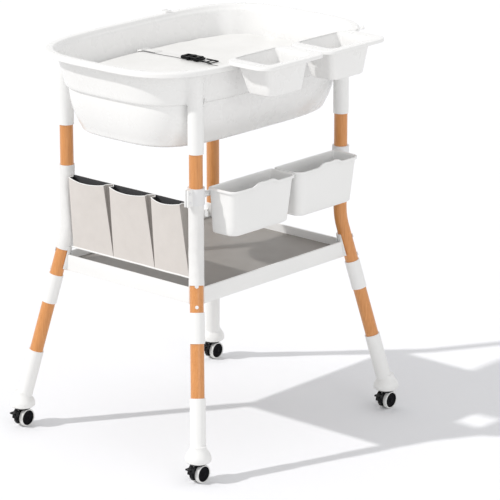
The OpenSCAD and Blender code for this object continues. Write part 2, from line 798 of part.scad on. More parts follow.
// Box that hangs on the tub's rim
box_top_z = rim_top_z + box_rise;
box_bottom_z = box_top_z - box_depth;
box_back = rim_y + box_rim_gap;
hook_inset = wall_inset + tub_wall + box_rim_gap;
module box_shell(inset, bottom, top) {
    half = box_l / 2 - box_end_flange - inset;
    front = box_front - box_front_flange - inset;
    back = box_back + inset;
    r = box_body_corner - inset;
    loft([
        rounded_ring(-half + box_end_taper + box_wall, half - box_end_taper - box_wall, -front + box_front_taper + box_wall,
            -back - box_back_taper - box_wall, r, r, bottom),
        rounded_ring(-half + box_end_taper, half - box_end_taper, -front + box_front_taper, -back - box_back_taper, r, r,
            bottom + 2 * box_wall),
        rounded_ring(-half, half, -front, -back, r, r, box_top_z - box_wall),
        rounded_ring(-half, half, -front, -back, r, r, top)
    ]);
}
module box_flange_block(inset, z0, z1) {
    half = box_l / 2 - inset;
    loft([
        rounded_ring(-half, half, -box_front + inset, -rim_y + overrun - inset, box_corner - inset, box_corner - inset, z0),
        rounded_ring(-half, half, -box_front + inset, -rim_y + overrun - inset, box_corner - inset, box_corner - inset, z1)
    ]);
}
module box_flange() {
    difference() {
        union() {
            box_flange_block(0, box_top_z - box_lip_h, box_top_z - box_wall / 2);
            box_flange_block(box_wall / 2, box_top_z - box_lip_h, box_top_z);
        }
        box_flange_block(box_wall, box_top_z - box_lip_h - overrun, box_top_z - box_wall);
    }
}
module top_box(side) {
    color("white")
        placed()
            translate([side * box_pitch / 2, 0, 0])
                difference() {
                    union() {
                        box_flange();
                        box_shell(0, box_bottom_z, box_top_z - box_wall / 2);
                        // The hook: a plate that lies on the rim and a lip inside the tub
                        translate([-hook_l / 2, -box_back - box_back_taper / 2, rim_top_z + seat_gap])
                            cube([hook_l, box_back + box_back_taper / 2 - rim_y + hook_inset + hook_t, hook_t]);
                        translate([-hook_l / 2, -rim_y + hook_inset, rim_top_z - hook_drop])
                            cube([hook_l, hook_t, hook_drop + seat_gap + hook_t]);
                    }
                    box_shell(box_wall, box_bottom_z + box_wall, box_top_z + overrun);
                }
}

// Bin that hangs on the rail
bin_bottom_z = bin_top_z - bin_depth;
module bin_shell(inset, bottom, top) {
    half = bin_l / 2 - bin_flange - inset;
    front = bin_front - bin_flange - inset;
    back = bin_back + inset;
    r_front = bin_corner - inset;
    r_back = bin_back_corner - inset;
    loft([
        rounded_ring(-half + bin_taper + box_wall, half - bin_taper - box_wall, -front + bin_taper + box_wall,
            -back - box_wall, r_front, r_back, bottom),
        rounded_ring(-half + bin_taper, half - bin_taper, -front + bin_taper, -back, r_front, r_back,
            bottom + 2 * box_wall),
        rounded_ring(-half, half, -front, -back, r_front, r_back, top)
    ]);
}
// Shares of the wave's half width and height along the front edge
wave_share = [[-1, 0], [-0.84, 0.3], [-0.68, 0.85], [-0.5, 1], [0, 0.85], [0.5, 1], [0.68, 0.85], [0.84, 0.3], [1, 0]];
wave_half = bin_l / 5;
module bin_flange_ring() {
    half = bin_l / 2;
    loft([
        rounded_ring(-half, half, -bin_front, -bin_back, bin_corner + bin_flange, bin_back_corner, bin_top_z - box_wall),
        rounded_ring(-half, half, -bin_front, -bin_back, bin_corner + bin_flange, bin_back_corner, bin_top_z)
    ]);
}
module bin(side) {
    color("white")
        placed()
            translate([side * bin_pitch / 2 - bin_shift, 0, 0]) {
                difference() {
                    union() {
                        bin_flange_ring();
                        bin_shell(0, bin_bottom_z, bin_top_z - box_wall / 2);
                    }
                    bin_shell(box_wall, bin_bottom_z + box_wall, bin_top_z + overrun);
                }
                // The wave that rises from the front edge
                translate([0, -bin_front, bin_top_z - overrun])
                    rotate([90, 0, 0])
                        translate([0, 0, -bin_flange - box_wall / 2])
                            linear_extrude(bin_flange)
                                polygon([for (p = wave_share) [p[0] * wave_half, p[1] * bin_wave_h + overrun * p[1] * p[1]]]);
                // The hook over the rail
                translate([-hook_l / 2, -bin_back - overrun / 2, rail_z + rail_r + seat_gap])
                    cube([hook_l, 2 * rail_r + 2 * seat_gap + hook_t + overrun / 2, hook_t]);
                translate([-hook_l / 2, -leg_y + rail_r + seat_gap, rail_z - rail_r / 2])
                    cube([hook_l, hook_t, rail_r * 3 / 2 + seat_gap + hook_t]);
            }
}

// Rail between the front legs and the collars that hold it
module bin_rail() {
    color("white")
        placed()
            translate([-leg_x + tube_r + overrun, -leg_y, rail_z])
                rotate([0, 90, 0])
                    cylinder(r = rail_r, h = 2 * (leg_x - tube_r - overrun));
}
module rail_collars() {
    color("gainsboro")
        placed()
            for (side = [-1, 1])
                translate([side * leg_x, -leg_y, 0])
                    difference() {
                        union() {
                            translate([0, 0, collar_top_z - collar_h]) cylinder(r = collar_r, h = collar_h);
                            translate([0, 0, rail_z])
                                rotate([0, -90 * side, 0])
                                    cylinder(r = rail_r + 2 * fit_gap + tube_wall * 3 / 2, h = collar_r + lip_t);
                        }
                        translate([0, 0, collar_top_z - collar_h - overrun])
                            cylinder(r = tube_r + fit_gap, h = collar_h + 2 * overrun);
                        translate([-side * tube_r / 2, 0, rail_z])
                            rotate([0, -90 * side, 0])
                                cylinder(r = rail_r + fit_gap, h = 2 * collar_r);
                    }
}

// Organizer: fabric sleeves around the two legs of one end, with a panel between them
wrap_r = tube_r + wrap_gap + wrap_t;
knuckle_r = tube_r + seat_gap + knuckle_t;
knuckle_s = leg_s(shelf_top_z + knuckle_up);
// The knuckle of the shelf with a little room around it
module knuckle_room(sy) {
    at_leg(-1, sy)
        along_leg(leg_s(shelf_top_z - shelf_h))
            intersection() {
                cylinder(r = knuckle_r + soft_gap, h = leg_s(shelf_top_z - shelf_h) - knuckle_s + soft_gap);
                translate([-2 * knuckle_r, -2 * knuckle_r, -overrun])
                    cube([2 * knuckle_r + tube_r / 5 + soft_gap, 4 * knuckle_r, 4 * shelf_h]);
            }
}
// The sleeve's lower end is notched round the cap of the shelf's bolt
module cap_notch(sy) {
    at_leg(-1, sy)
        along_leg(bolt_s) cross_bore(bolt_cap_r + 3 * soft_gap, 0, wrap_r + bolt_cap_t);
}
// The side of each fabric sleeve and the heights of its two ends
wrap_places = [[-1, collar_top_z - collar_h - seat_gap, wrap_bottom_z], [1, wrap_top_z, wrap_back_bottom_z]];
module wraps(r, arc_r) {
    for (place = wrap_places)
        at_leg(-1, place[0]) bent_rod(r, arc_r, place[1], leg_s(place[2]));
}
// The bores run on past the sleeves and past the foot of the panel
module wrap_bores(r, arc_r) {
    for (place = wrap_places)
        at_leg(-1, place[0]) bent_rod(r, arc_r, place[1] + overrun, leg_s(wrap_bottom_z) + overrun);
}
// How far the leg has moved out from its upright axis at a height
bend_end_z = bend_z - bend_s * cos(splay);
function leg_off(z) = z >= bend_start_z ? 0
    : z >= bend_end_z ? bend_r - sqrt(bend_r * bend_r - (bend_start_z - z) * (bend_start_z - z))
    : (bend_z - z) * tan(splay);
// The panel runs to the middle of each leg, and the sleeves' bores cut it back
function panel_edge(z) = leg_y + leg_off(z) * splay_dy / splay_run;
panel_top_z = mouth_z + pocket_t;
panel_levels = [hem_z, bend_end_z, bend_z, bend_start_z, panel_top_z];
module organizer_panel() {
    wrap_bore = wrap_r - wrap_t;
    color("whitesmoke")
        difference() {
            union() {
                wraps(wrap_r, wrap_r - wrap_gap / 2);
                placed()
                    translate([-leg_x + panel_t / 2, 0, 0])
                        rotate([90, 0, -90])
                            linear_extrude(panel_t)
                                polygon(concat(
                                    [for (z = panel_levels) [panel_edge(z), z]],
                                    [for (i = [len(panel_levels) - 1 : -1 : 0]) [-panel_edge(panel_levels[i]), panel_levels[i]]]));
            }
            wrap_bores(wrap_bore, wrap_bore + wrap_gap / 2);
            for (sy = [-1, 1]) {
                knuckle_room(sy);
                cap_notch(sy);
            }
        }
}
// Shares of the panel's half width where the pockets' sides stand
pocket_edge_share = [1, 0.29, -0.42, -1];
pocket_half = leg_y - wrap_r - wrap_t;
pocket_bottom_z = hem_z + panel_t;
pocket_h = mouth_z - pocket_bottom_z;
bow_n = 6;
// One level of a pocket seen from above, at a share of its height: the front bows out
function pocket_ring(width, share, inset) = let (
        half = width / 2 - share * pocket_draw - inset,
        out = pocket_t * 3 + share * (pocket_out - pocket_t * 3) - inset)
    concat(
        [[-inset, half, pocket_bottom_z + share * pocket_h]],
        [for (i = [0 : bow_n]) let (u = 1 - 2 * i / bow_n)
            [-out - share * pocket_bow * (1 - u * u), u * half, pocket_bottom_z + share * pocket_h]],
        [[-inset, -half, pocket_bottom_z + share * pocket_h]]);
module organizer_pockets() {
    color("lightgray")
        placed()
            for (k = [0 : len(pocket_edge_share) - 2]) {
                width = (pocket_edge_share[k] - pocket_edge_share[k + 1]) * pocket_half - pocket_t;
                middle = (pocket_edge_share[k] + pocket_edge_share[k + 1]) * pocket_half / 2;
                translate([-leg_x - panel_t / 2, middle, 0])
                    difference() {
                        loft([pocket_ring(width, 0, 0), pocket_ring(width, 1, 0)]);
                        loft([pocket_ring(width, pocket_t * 2 / pocket_h, pocket_t),
                            pocket_ring(width, 1 + pocket_t / pocket_h, pocket_t)]);
                    }
            }
}

// Shelf: a white frame whose knuckles clasp the legs, and a grey board
shelf_x = leg_x + shelf_out;
shelf_y = leg_y + shelf_out;
shelf_bottom_z = shelf_top_z - shelf_h;
// The knuckles' slanted lower ends stay above the frame's underside
knuckle_low_z = shelf_bottom_z + knuckle_r / 3;
module each_corner() {
    for (sx = [-1, 1])
        for (sy = [-1, 1])
            translate([sx * leg_x, sy * leg_y, 0])
                rotate([0, 0, atan2(sy * splay_dy, sx * splay_dx)])
                    children();
}
module frame_block(inset, z0, z1) {
    translate([-shelf_x + inset, -shelf_y + inset, z0])
        cube([2 * (shelf_x - inset), 2 * (shelf_y - inset), z1 - z0]);
}
module shelf_frame() {
    color("white")
        placed()
            difference() {
                union() {
                    difference() {
                        frame_block(0, shelf_bottom_z, shelf_top_z);
                        frame_block(shelf_wall, shelf_top_z - shelf_board_drop - shelf_board_t, shelf_top_z + overrun);
                        frame_block(shelf_ledge_w, shelf_bottom_z - overrun, shelf_top_z);
                        frame_block(shelf_wall, shelf_bottom_z - overrun,
                            shelf_top_z - shelf_board_drop - shelf_board_t - shelf_ledge_t);
                    }
                    each_corner()
                        along_leg(leg_s(knuckle_low_z))
                            cylinder(r = knuckle_r, h = leg_s(knuckle_low_z) - knuckle_s);
                }
                // Room for the leg, and all that would stand outside its middle
                each_corner() {
                    along_leg(leg_s(shelf_bottom_z - 2 * knuckle_r))
                        cylinder(r = tube_r + seat_gap, h = 3 * shelf_h + 2 * knuckle_r);
                    along_leg(leg_s(shelf_bottom_z - 2 * knuckle_r))
                        translate([tube_r / 5, -2 * knuckle_r, 0])
                            cube([4 * knuckle_r, 4 * knuckle_r, 3 * shelf_h + 2 * knuckle_r]);
                    along_leg(bolt_s) cross_bore(bolt_r + fit_gap, -2 * knuckle_r, 0);
                }
            }
}
module shelf_board() {
    // The slanted knuckles lean over the board, so its corners keep clear of them for its own thickness above it
    corner_r = knuckle_r + seat_gap + shelf_board_t * tan(splay);
    color("darkgray")
        placed()
            difference() {
                frame_block(shelf_wall + seat_gap, shelf_top_z - shelf_board_drop - shelf_board_t + seat_gap,
                    shelf_top_z - shelf_board_drop);
                each_corner()
                    along_leg(leg_s(shelf_bottom_z))
                        translate([0, 0, -shelf_h]) cylinder(r = corner_r, h = 3 * shelf_h);
            }
}
module shelf_bolts() {
    color("white")
        placed()
            each_corner()
                along_leg(bolt_s) {
                    cross_bore(bolt_r, -tube_r - knuckle_t - bolt_cap_t, tube_r + bolt_cap_t);
                    cross_bore(bolt_cap_r, tube_r + seat_gap, tube_r + seat_gap + bolt_cap_t);
                    cross_bore(bolt_cap_r, -tube_r - knuckle_t - 2 * seat_gap - bolt_cap_t, -tube_r - knuckle_t - 2 * seat_gap);
                }
}

post(-1, -1);  // post_front_left
post(-1, 1);  // post_back_left
post(1, -1);  // post_front_right
post(1, 1);  // post_back_right
upper_tube(-1, -1);  // upper_tube_front_left
upper_tube(-1, 1);  // upper_tube_back_left
upper_tube(1, -1);  // upper_tube_front_right
upper_tube(1, 1);  // upper_tube_back_right
sleeve(-1, -1);  // sleeve_front_left
sleeve(-1, 1);  // sleeve_back_left
sleeve(1, -1);  // sleeve_front_right
sleeve(1, 1);  // sleeve_back_right
lower_tube(-1, -1);  // lower_tube_front_left
lower_tube(-1, 1);  // lower_tube_back_left
lower_tube(1, -1);  // lower_tube_front_right
lower_tube(1, 1);  // lower_tube_back_right
foot(-1, -1);  // foot_front_left
foot(-1, 1);  // foot_back_left
foot(1, -1);  // foot_front_right
foot(1, 1);  // foot_back_right
snap_button(-1, -1);  // snap_button_front_left
snap_button(-1, 1);  // snap_button_back_left
snap_button(1, -1);  // snap_button_front_right
snap_button(1, 1);  // snap_button_back_right
caster_fork(-1, -1);  // caster_fork_front_left
caster_fork(-1, 1);  // caster_fork_back_left
caster_fork(1, -1);  // caster_fork_front_right
caster_fork(1, 1);  // caster_fork_back_right
caster_tyres(-1, -1);  // caster_tyres_front_left
caster_tyres(-1, 1);  // caster_tyres_back_left
caster_tyres(1, -1);  // caster_tyres_front_right
caster_tyres(1, 1);  // caster_tyres_back_right
caster_hubs(-1, -1);  // caster_hubs_front_left
caster_hubs(-1, 1);  // caster_hubs_back_left
caster_hubs(1, -1);  // caster_hubs_front_right
caster_hubs(1, 1);  // caster_hubs_back_right
brake_pedal(-1, -1);  // brake_pedal_front_left
brake_pedal(-1, 1);  // brake_pedal_back_left
brake_pedal(1, -1);  // brake_pedal_front_right
brake_pedal(1, 1);  // brake_pedal_back_right
tub();
rim_clips();
drain_plug();
pad_board();
pad_cushion();
belt_webbing();
buckle_socket();
buckle_tongue();
top_box(-1);  // top_box_left
top_box(1);  // top_box_right
bin(-1);  // bin_left
bin(1);  // bin_right
rail_collars();
bin_rail();
organizer_panel();
organizer_pockets();
shelf_frame();
shelf_board();
shelf_bolts();
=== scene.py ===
"""Baby bath station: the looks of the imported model. Local shapes are written in millimetres about the
middle of the four legs, with the floor at z = 0, and placed in the row frame by place()."""
import math

import bmesh
import bpy
import numpy as np
from mathutils import Matrix, Vector, noise
from mathutils.bvhtree import BVHTree


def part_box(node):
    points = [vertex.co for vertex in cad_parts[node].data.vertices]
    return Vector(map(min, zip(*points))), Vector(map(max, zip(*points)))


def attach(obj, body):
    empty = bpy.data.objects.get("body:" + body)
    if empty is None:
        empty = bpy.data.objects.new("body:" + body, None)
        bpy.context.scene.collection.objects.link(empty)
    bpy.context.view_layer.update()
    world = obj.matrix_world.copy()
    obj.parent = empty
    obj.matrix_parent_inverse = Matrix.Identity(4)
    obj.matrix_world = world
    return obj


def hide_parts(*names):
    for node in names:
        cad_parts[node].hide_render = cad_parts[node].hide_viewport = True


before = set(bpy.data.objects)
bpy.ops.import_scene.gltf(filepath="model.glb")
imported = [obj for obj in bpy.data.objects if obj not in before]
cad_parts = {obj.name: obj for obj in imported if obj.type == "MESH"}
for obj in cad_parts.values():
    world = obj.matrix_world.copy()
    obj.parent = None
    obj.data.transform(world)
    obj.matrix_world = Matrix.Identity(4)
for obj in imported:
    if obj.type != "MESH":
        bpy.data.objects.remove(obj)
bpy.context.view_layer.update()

MM = 0.001
CORNERS = {"front_left": (-1, -1), "back_left": (-1, 1), "front_right": (1, -1), "back_right": (1, 1)}
# Zero until the posts' boxes give the middle of the legs
MID_Y = 0.0


def node_box(node):
    """A node's lowest and highest corners in millimetres about the middle of the legs."""
    return [(v.x / MM, (v.y - MID_Y) / MM, v.z / MM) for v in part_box(node)]


front_post, back_post = node_box("post_front_left"), node_box("post_back_left")
LEG_X = -(front_post[0][0] + front_post[1][0]) / 2
LEG_Y = (back_post[0][1] + back_post[1][1] - front_post[0][1] - front_post[1][1]) / 4
MID_Y = (back_post[0][1] + back_post[1][1] + front_post[0][1] + front_post[1][1]) / 4 * MM
POST_R = (front_post[1][0] - front_post[0][0]) / 2


def place(point):
    return (point[0] * MM, MID_Y + point[1] * MM, point[2] * MM)


def mix(a, b, share):
    return a + (b - a) * share


def add_object(name, data):
    made = bpy.data.objects.new(name, data)
    bpy.context.collection.objects.link(made)
    return made


def aim(thing, direction):
    """Points a camera or a lamp along a direction."""
    thing.rotation_mode = "QUATERNION"
    thing.rotation_quaternion = Vector(direction).to_track_quat("-Z", "Y")


# Camera, first
CAMERA_LENS, CAMERA_SENSOR = 219.09, 36
CAMERA_PLACE = (-5.1636, -4.69645, 2.5220)
CAMERA_AIM = (0.7162, 0.6361, -0.2870)
camera_data = bpy.data.cameras.new("camera")
camera_data.lens = CAMERA_LENS
camera_data.sensor_width = CAMERA_SENSOR
camera_data.clip_start = 0.1
camera_data.clip_end = 100
camera = add_object("camera", camera_data)
camera.location = CAMERA_PLACE
aim(camera, CAMERA_AIM)
bpy.context.scene.camera = camera


# Materials
class Graph:
    """A node material with a Principled shader, built by small steps."""

    def __init__(self, name):
        self.material = bpy.data.materials.new(name)
        self.material.use_nodes = True
        self.tree = self.material.node_tree
        self.shader = self.tree.nodes["Principled BSDF"]
        self.coords = self.tree.nodes.new("ShaderNodeTexCoord").outputs["Object"]

    def node(self, kind, inputs=(), **settings):
        made = self.tree.nodes.new(kind)
        for key, value in settings.items():
            setattr(made, key, value)
        for key, value in dict(inputs).items():
            self.feed(made.inputs[key], value)
        return made

    def feed(self, socket, value):
        if isinstance(value, bpy.types.NodeSocket):
            self.tree.links.new(value, socket)
        else:
            socket.default_value = value

    def set(self, key, value):
        self.feed(self.shader.inputs[key], value)

    def noise(self, scale, detail=3.0, stretch=(1, 1, 1), rough=0.55):
        moved = self.node("ShaderNodeMapping", {"Vector": self.coords, "Scale": stretch})
        return self.node("ShaderNodeTexNoise", {"Vector": moved.outputs[0], "Scale": scale, "Detail": detail,
                                               "Roughness": rough}).outputs["Fac"]

    def math(self, operation, a, b=0.0):
        return self.node("ShaderNodeMath", {0: a, 1: b}, operation=operation).outputs[0]

    def ramp(self, value, stops):
        made = self.node("ShaderNodeValToRGB", {"Fac": value})
        line = made.color_ramp
        while len(line.elements) < len(stops):
            line.elements.new(0.5)
        for element, (place_at, colour) in zip(line.elements, stops):
            element.position = place_at
            element.color = (*colour, 1)
        return made.outputs["Color"]

    def span(self, value, low, high, low_out, high_out):
        return self.node("ShaderNodeMapRange", {"Value": value, "From Min": low, "From Max": high,
                                               "To Min": low_out, "To Max": high_out}).outputs[0]

    def bump(self, *layers):
        """Each layer is (height, strength, distance in metres)."""
        normal = None
        for height, strength, distance in layers:
            inputs = {"Height": height, "Strength": strength, "Distance": distance}
            if normal is not None:
                inputs["Normal"] = normal
            normal = self.node("ShaderNodeBump", inputs).outputs[0]
        self.set("Normal", normal)


def shade(colour, factor):
    return tuple(min(1.0, c * factor) for c in colour)


def moulded(name, colour, rough=0.34, grain=900, grain_depth=0.00005, coat=0.0, gloss=0.5):
    """Injection-moulded plastic: a fine grain, faint sink marks and a little unevenness of tone and gloss."""
    g = Graph(name)
    g.set("Base Color", g.ramp(g.noise(5, 3), [(0.3, shade(colour, 0.985)), (0.7, shade(colour, 1.01))]))
    g.set("Roughness", g.span(g.noise(26, 4), 0.3, 0.7, rough - 0.04, rough + 0.05))
    g.set("Coat Weight", coat)
    g.set("Coat Roughness", 0.12)
    g.set("Specular IOR Level", gloss)
    g.bump((g.noise(6, 1), 0.04, 0.0006), (g.noise(grain, 2), 0.1, grain_depth))
    return g.material


def wood_tone():
    """Tube wrapped in a wood-grain film: long streaks with darker pores under a satin coat."""
    g = Graph("wood_tone_film")
    streaks = g.noise(26, 6, (14, 14, 0.9), 0.62)
    fine = g.noise(120, 4, (12, 12, 0.35), 0.6)
    mixed = g.math("ADD", g.math("MULTIPLY", streaks, 0.72), g.math("MULTIPLY", fine, 0.28))
    g.set("Base Color", g.ramp(mixed, [
        (0.30, (0.54, 0.212, 0.056)), (0.46, (0.65, 0.270, 0.080)), (0.56, (0.70, 0.303, 0.094)),
        (0.74, (0.77, 0.355, 0.120))]))
    g.set("Roughness", g.span(fine, 0.3, 0.7, 0.30, 0.44))
    g.set("Coat Weight", 0.25)
    g.set("Coat Roughness", 0.2)
    g.bump((fine, 0.12, 0.00015), (streaks, 0.06, 0.0003))
    return g.material


def vinyl():
    """Soft wipe-clean vinyl with a fine leather-like grain and slow puckers."""
    g = Graph("pad_vinyl")
    cells = g.node("ShaderNodeTexVoronoi", {"Vector": g.coords, "Scale": 620.0}, feature="SMOOTH_F1")
    g.set("Base Color", g.ramp(g.noise(7, 4), [(0.3, (0.83, 0.825, 0.81)), (0.7, (0.90, 0.895, 0.885))]))
    g.set("Roughness", g.span(g.noise(30, 4), 0.3, 0.7, 0.36, 0.5))
    g.set("Coat Weight", 0.12)
    g.set("Coat Roughness", 0.3)
    g.bump((g.noise(14, 2, (1.6, 1, 1)), 0.18, 0.0018), (cells.outputs["Distance"], 0.3, 0.00015))
    return g.material


def woven(name, colour, pitch, depth, rough=0.85, sheen=0.25, twill=False):
    """Woven cloth: threads that cross over and under, with fuzz of tone from thread to thread."""
    g = Graph(name)
    parts = g.node("ShaderNodeSeparateXYZ", {"Vector": g.coords}).outputs
    step = 2 * math.pi / pitch
    warp_at = g.math("MULTIPLY", g.math("ADD", parts[0], parts[1]), step)
    weft_at = g.math("MULTIPLY", parts[2], step)
    if twill:
        weft_at = g.math("ADD", weft_at, g.math("MULTIPLY", parts[0], step))
    warp = g.math("ABSOLUTE", g.math("SINE", warp_at))
    weft = g.math("ABSOLUTE", g.math("SINE", weft_at))
    over = g.math("MAXIMUM", g.math("MULTIPLY", warp, 0.9), weft)
    tone = g.math("ADD", g.math("MULTIPLY", g.noise(40, 4), 0.7), g.math("MULTIPLY", over, 0.3))
    stops = [(0.3, shade(colour, 0.95)), (0.62, colour), (0.85, shade(colour, 1.03))]
    g.set("Base Color", g.ramp(tone, stops))
    g.set("Roughness", g.span(over, 0.0, 1.0, rough - 0.1, rough + 0.05))
    g.set("Sheen Weight", sheen)
    g.set("Sheen Roughness", 0.5)
    g.bump((g.noise(24, 3), 0.12, 0.0010), (over, 0.4, depth))
    return g.material


def rubber(name, colour, rough=0.6):
    """Rubbery plastic with a scuffed, dusty tread."""
    g = Graph(name)
    g.set("Base Color", g.ramp(g.noise(60, 5), [(0.35, shade(colour, 0.88)), (0.65, colour)]))
    g.set("Roughness", g.span(g.noise(90, 4), 0.3, 0.7, rough - 0.08, rough + 0.12))
    g.bump((g.noise(420, 3), 0.3, 0.00012))
    return g.material


def painted_metal(name, colour):
    """Powder-coated steel: a faint orange peel."""
    g = Graph(name)
    g.set("Base Color", g.ramp(g.noise(18, 3), [(0.3, shade(colour, 0.96)), (0.7, colour)]))
    g.set("Roughness", g.span(g.noise(80, 3), 0.3, 0.7, 0.28, 0.4))
    g.set("Metallic", 0.0)
    g.set("Coat Weight", 0.3)
    g.bump((g.noise(240, 2), 0.2, 0.0002))
    return g.material


MATERIALS = {
    "white": moulded("white_plastic", (0.885, 0.885, 0.88), 0.36),
    "gloss": moulded("white_gloss_plastic", (0.895, 0.893, 0.888), 0.28, 1300, 0.00002, 0.15),
    "wood": wood_tone(),
    "black": moulded("black_plastic", (0.003, 0.003, 0.004), 0.45, 1100, 0.00005, gloss=0.15),
    "black_hub": moulded("black_hub_plastic", (0.003, 0.003, 0.0045), 0.55, 900, 0.00008, gloss=0.08),
    "dark_grey": moulded("dark_grey_plastic", (0.012, 0.012, 0.013), 0.45, 1100, 0.00005, gloss=0.2),
    "tread": rubber("white_tread", (0.87, 0.87, 0.865), 0.5),
    "grey_rubber": rubber("grey_rubber", (0.3, 0.3, 0.31)),
    "board": moulded("white_board", (0.78, 0.78, 0.77), 0.5),
    "vinyl": vinyl(),
    "webbing": woven("belt_webbing", (0.84, 0.835, 0.825), 0.0022, 0.0003, 0.75, 0.2, True),
    # Dark grey for the strap's side faces: painted shade along its edges
    "strap_edge_shade": woven("webbing_selvedge", (0.22, 0.22, 0.225), 0.0012, 0.0002, 0.8, 0.1),
    "metal": painted_metal("white_metal", (0.82, 0.82, 0.82)),
    "pale": moulded("pale_grey_plastic", (0.80, 0.80, 0.81), 0.34),
    "panel": woven("organizer_fabric", (0.83, 0.825, 0.82), 0.0016, 0.0003, 0.8),
    "pocket": woven("pocket_fabric", (0.665, 0.625, 0.595), 0.0016, 0.0002, 0.8),
    # Darker than the pockets for the gussets: painted shade, as they face away from the key lamp
    "gusset_shaded": woven("gusset_painted_shade", (0.42, 0.394, 0.372), 0.0016, 0.0002, 0.8),
    "piping": woven("piping_fabric", (0.87, 0.87, 0.865), 0.0012, 0.0002, 0.7),
    # Near black for the insides of the pockets: painted shade
    "pocket_inside_shade": woven("pocket_inside_painted_shade", (0.055, 0.056, 0.06), 0.0014, 0.0002, 0.85, 0.1),
    "shelf_grey": moulded("shelf_grey", (0.30, 0.283, 0.266), 0.5, 700, 0.0001),
}


# Mesh helpers
def smooth(mesh, angle=38):
    mesh.shade_smooth()
    mesh.set_sharp_from_angle(angle=math.radians(angle))


def tidy_mesh(mesh):
    """Merges doubled points and turns every face outwards."""
    work = bmesh.new()
    work.from_mesh(mesh)
    bmesh.ops.remove_doubles(work, verts=work.verts, dist=1e-6)
    bmesh.ops.recalc_face_normals(work, faces=work.faces)
    work.to_mesh(mesh)
    work.free()


def make(name, verts, faces, look, body, *nodes, angle=38, welded=True):
    """A mesh piece from points in millimetres. It rides on a body and may stand for CAD nodes."""
    mesh = bpy.data.meshes.new(name)
    mesh.from_pydata([place(v) for v in verts], [], faces)
    if welded:
        tidy_mesh(mesh)
    smooth(mesh, angle)
    piece = add_object(name, mesh)
    mesh.materials.append(MATERIALS[look])
    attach(piece, body)
    if nodes:
        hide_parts(*nodes)
    return piece


def modify(piece, kind, **settings):
    """Adds a modifier and applies it to the piece's mesh."""
    made = piece.modifiers.new(kind.lower(), kind)
    for key, value in settings.items():
        setattr(made, key, value)
    graph = bpy.context.evaluated_depsgraph_get()
    result = bpy.data.meshes.new_from_object(piece.evaluated_get(graph))
    piece.modifiers.clear()
    old = piece.data
    piece.data = result
    result.name = piece.name
    bpy.data.meshes.remove(old)


def bevel(piece, width, segments=2, angle=30):
    modify(piece, "BEVEL", width=width * MM, segments=segments, limit_method="ANGLE",
           angle_limit=math.radians(angle))
    smooth(piece.data)


def bevelled(name, parts, look, body, *nodes, edge, segments=2):
    """Several solids as one piece with rounded edges."""
    piece = make(name, *join(*parts), look, body, *nodes)
    bevel(piece, edge, segments)
    return piece


def combine(piece, operation, verts, faces):
    """Unites a closed mesh with a piece, or cuts it out."""
    mesh = bpy.data.meshes.new("cutter")
    mesh.from_pydata([place(v) for v in verts], [], faces)
    tidy_mesh(mesh)
    other = add_object("cutter", mesh)
    modify(piece, "BOOLEAN", object=other, operation=operation, solver="EXACT")
    bpy.data.objects.remove(other)


def loft(rings, capped=True):
    """Quads between rings of equal counts, with flat faces at both ends."""
    n = len(rings[0])
    verts = [tuple(p) for ring in rings for p in ring]
    faces = [(j * n + i, j * n + (i + 1) % n, (j + 1) * n + (i + 1) % n, (j + 1) * n + i)
             for j in range(len(rings) - 1) for i in range(n)]
    if capped:
        faces.append(tuple(range(n - 1, -1, -1)))
        faces.append(tuple((len(rings) - 1) * n + i for i in range(n)))
    return verts, faces


def join(*parts):
    """Several (verts, faces) in one."""
    verts, faces = [], []
    for part_verts, part_faces in parts:
        base = len(verts)
        verts += list(part_verts)
        faces += [tuple(base + i for i in face) for face in part_faces]
    return verts, faces


def circle(n):
    """The cosine and sine of n even steps round a circle."""
    return [(math.cos(2 * math.pi * i / n), math.sin(2 * math.pi * i / n)) for i in range(n)]


def lathe(profile, at, axis=(0, 0, 1), n=64, closed=True):
    """Turns (radius, height) points about an axis through at. A closed profile makes a ring-shaped solid."""
    turn = Vector((0, 0, 1)).rotation_difference(Vector(axis))
    rings = [[tuple(Vector(at) + turn @ Vector((radius * c, radius * s, height))) for c, s in circle(n)]
             for radius, height in profile]
    if closed:
        rings.append(rings[0])
    return loft(rings, capped=not closed)


def tube(points, radius, n=10):
    """A round cord of mesh along points, closed at its ends."""
    points = [Vector(p) for p in points]
    rings = []
    side = None
    for k, point in enumerate(points):
        ahead = (points[min(k + 1, len(points) - 1)] - points[max(k - 1, 0)]).normalized()
        if side is None:
            side = ahead.orthogonal().normalized()
        side = (side - ahead * side.dot(ahead)).normalized()
        other = ahead.cross(side)
        rings.append([tuple(point + radius * (c * side + s * other)) for c, s in circle(n)])
    return loft(rings)


def block(low, high, turn=None, at=(0, 0, 0)):
    """A box between two corners, which may be turned and moved."""
    corners = [(x, y, z) for x in (low[0], high[0]) for y in (low[1], high[1]) for z in (low[2], high[2])]
    if turn is not None:
        corners = [tuple(turn @ Vector(c)) for c in corners]
    corners = [tuple(c[k] + at[k] for k in range(3)) for c in corners]
    return corners, [(0, 1, 3, 2), (4, 6, 7, 5), (0, 4, 5, 1), (2, 3, 7, 6), (0, 2, 6, 4), (1, 5, 7, 3)]


def bar(x, half, ys, zs):
    """A box that reaches half to each side of x, between two ends in y and two in z."""
    return block((x - half, ys[0], zs[0]), (x + half, ys[1], zs[1]))


def prism(outline, z0, z1, turn=None, at=(0, 0, 0)):
    """An outline of (x, y) points raised from z0 to z1, which may be turned and moved."""
    rings = [[Vector((x, y, z)) for x, y in outline] for z in (z0, z1)]
    if turn is not None:
        rings = [[turn @ p for p in ring] for ring in rings]
    return loft([[tuple(p + Vector(at)) for p in ring] for ring in rings])


def wobble(point, size, depth, seed=0.0):
    """A slow random push, the same on every run."""
    return depth * noise.noise(Vector(point) / size + Vector((seed, seed * 0.7, seed * 1.3)))


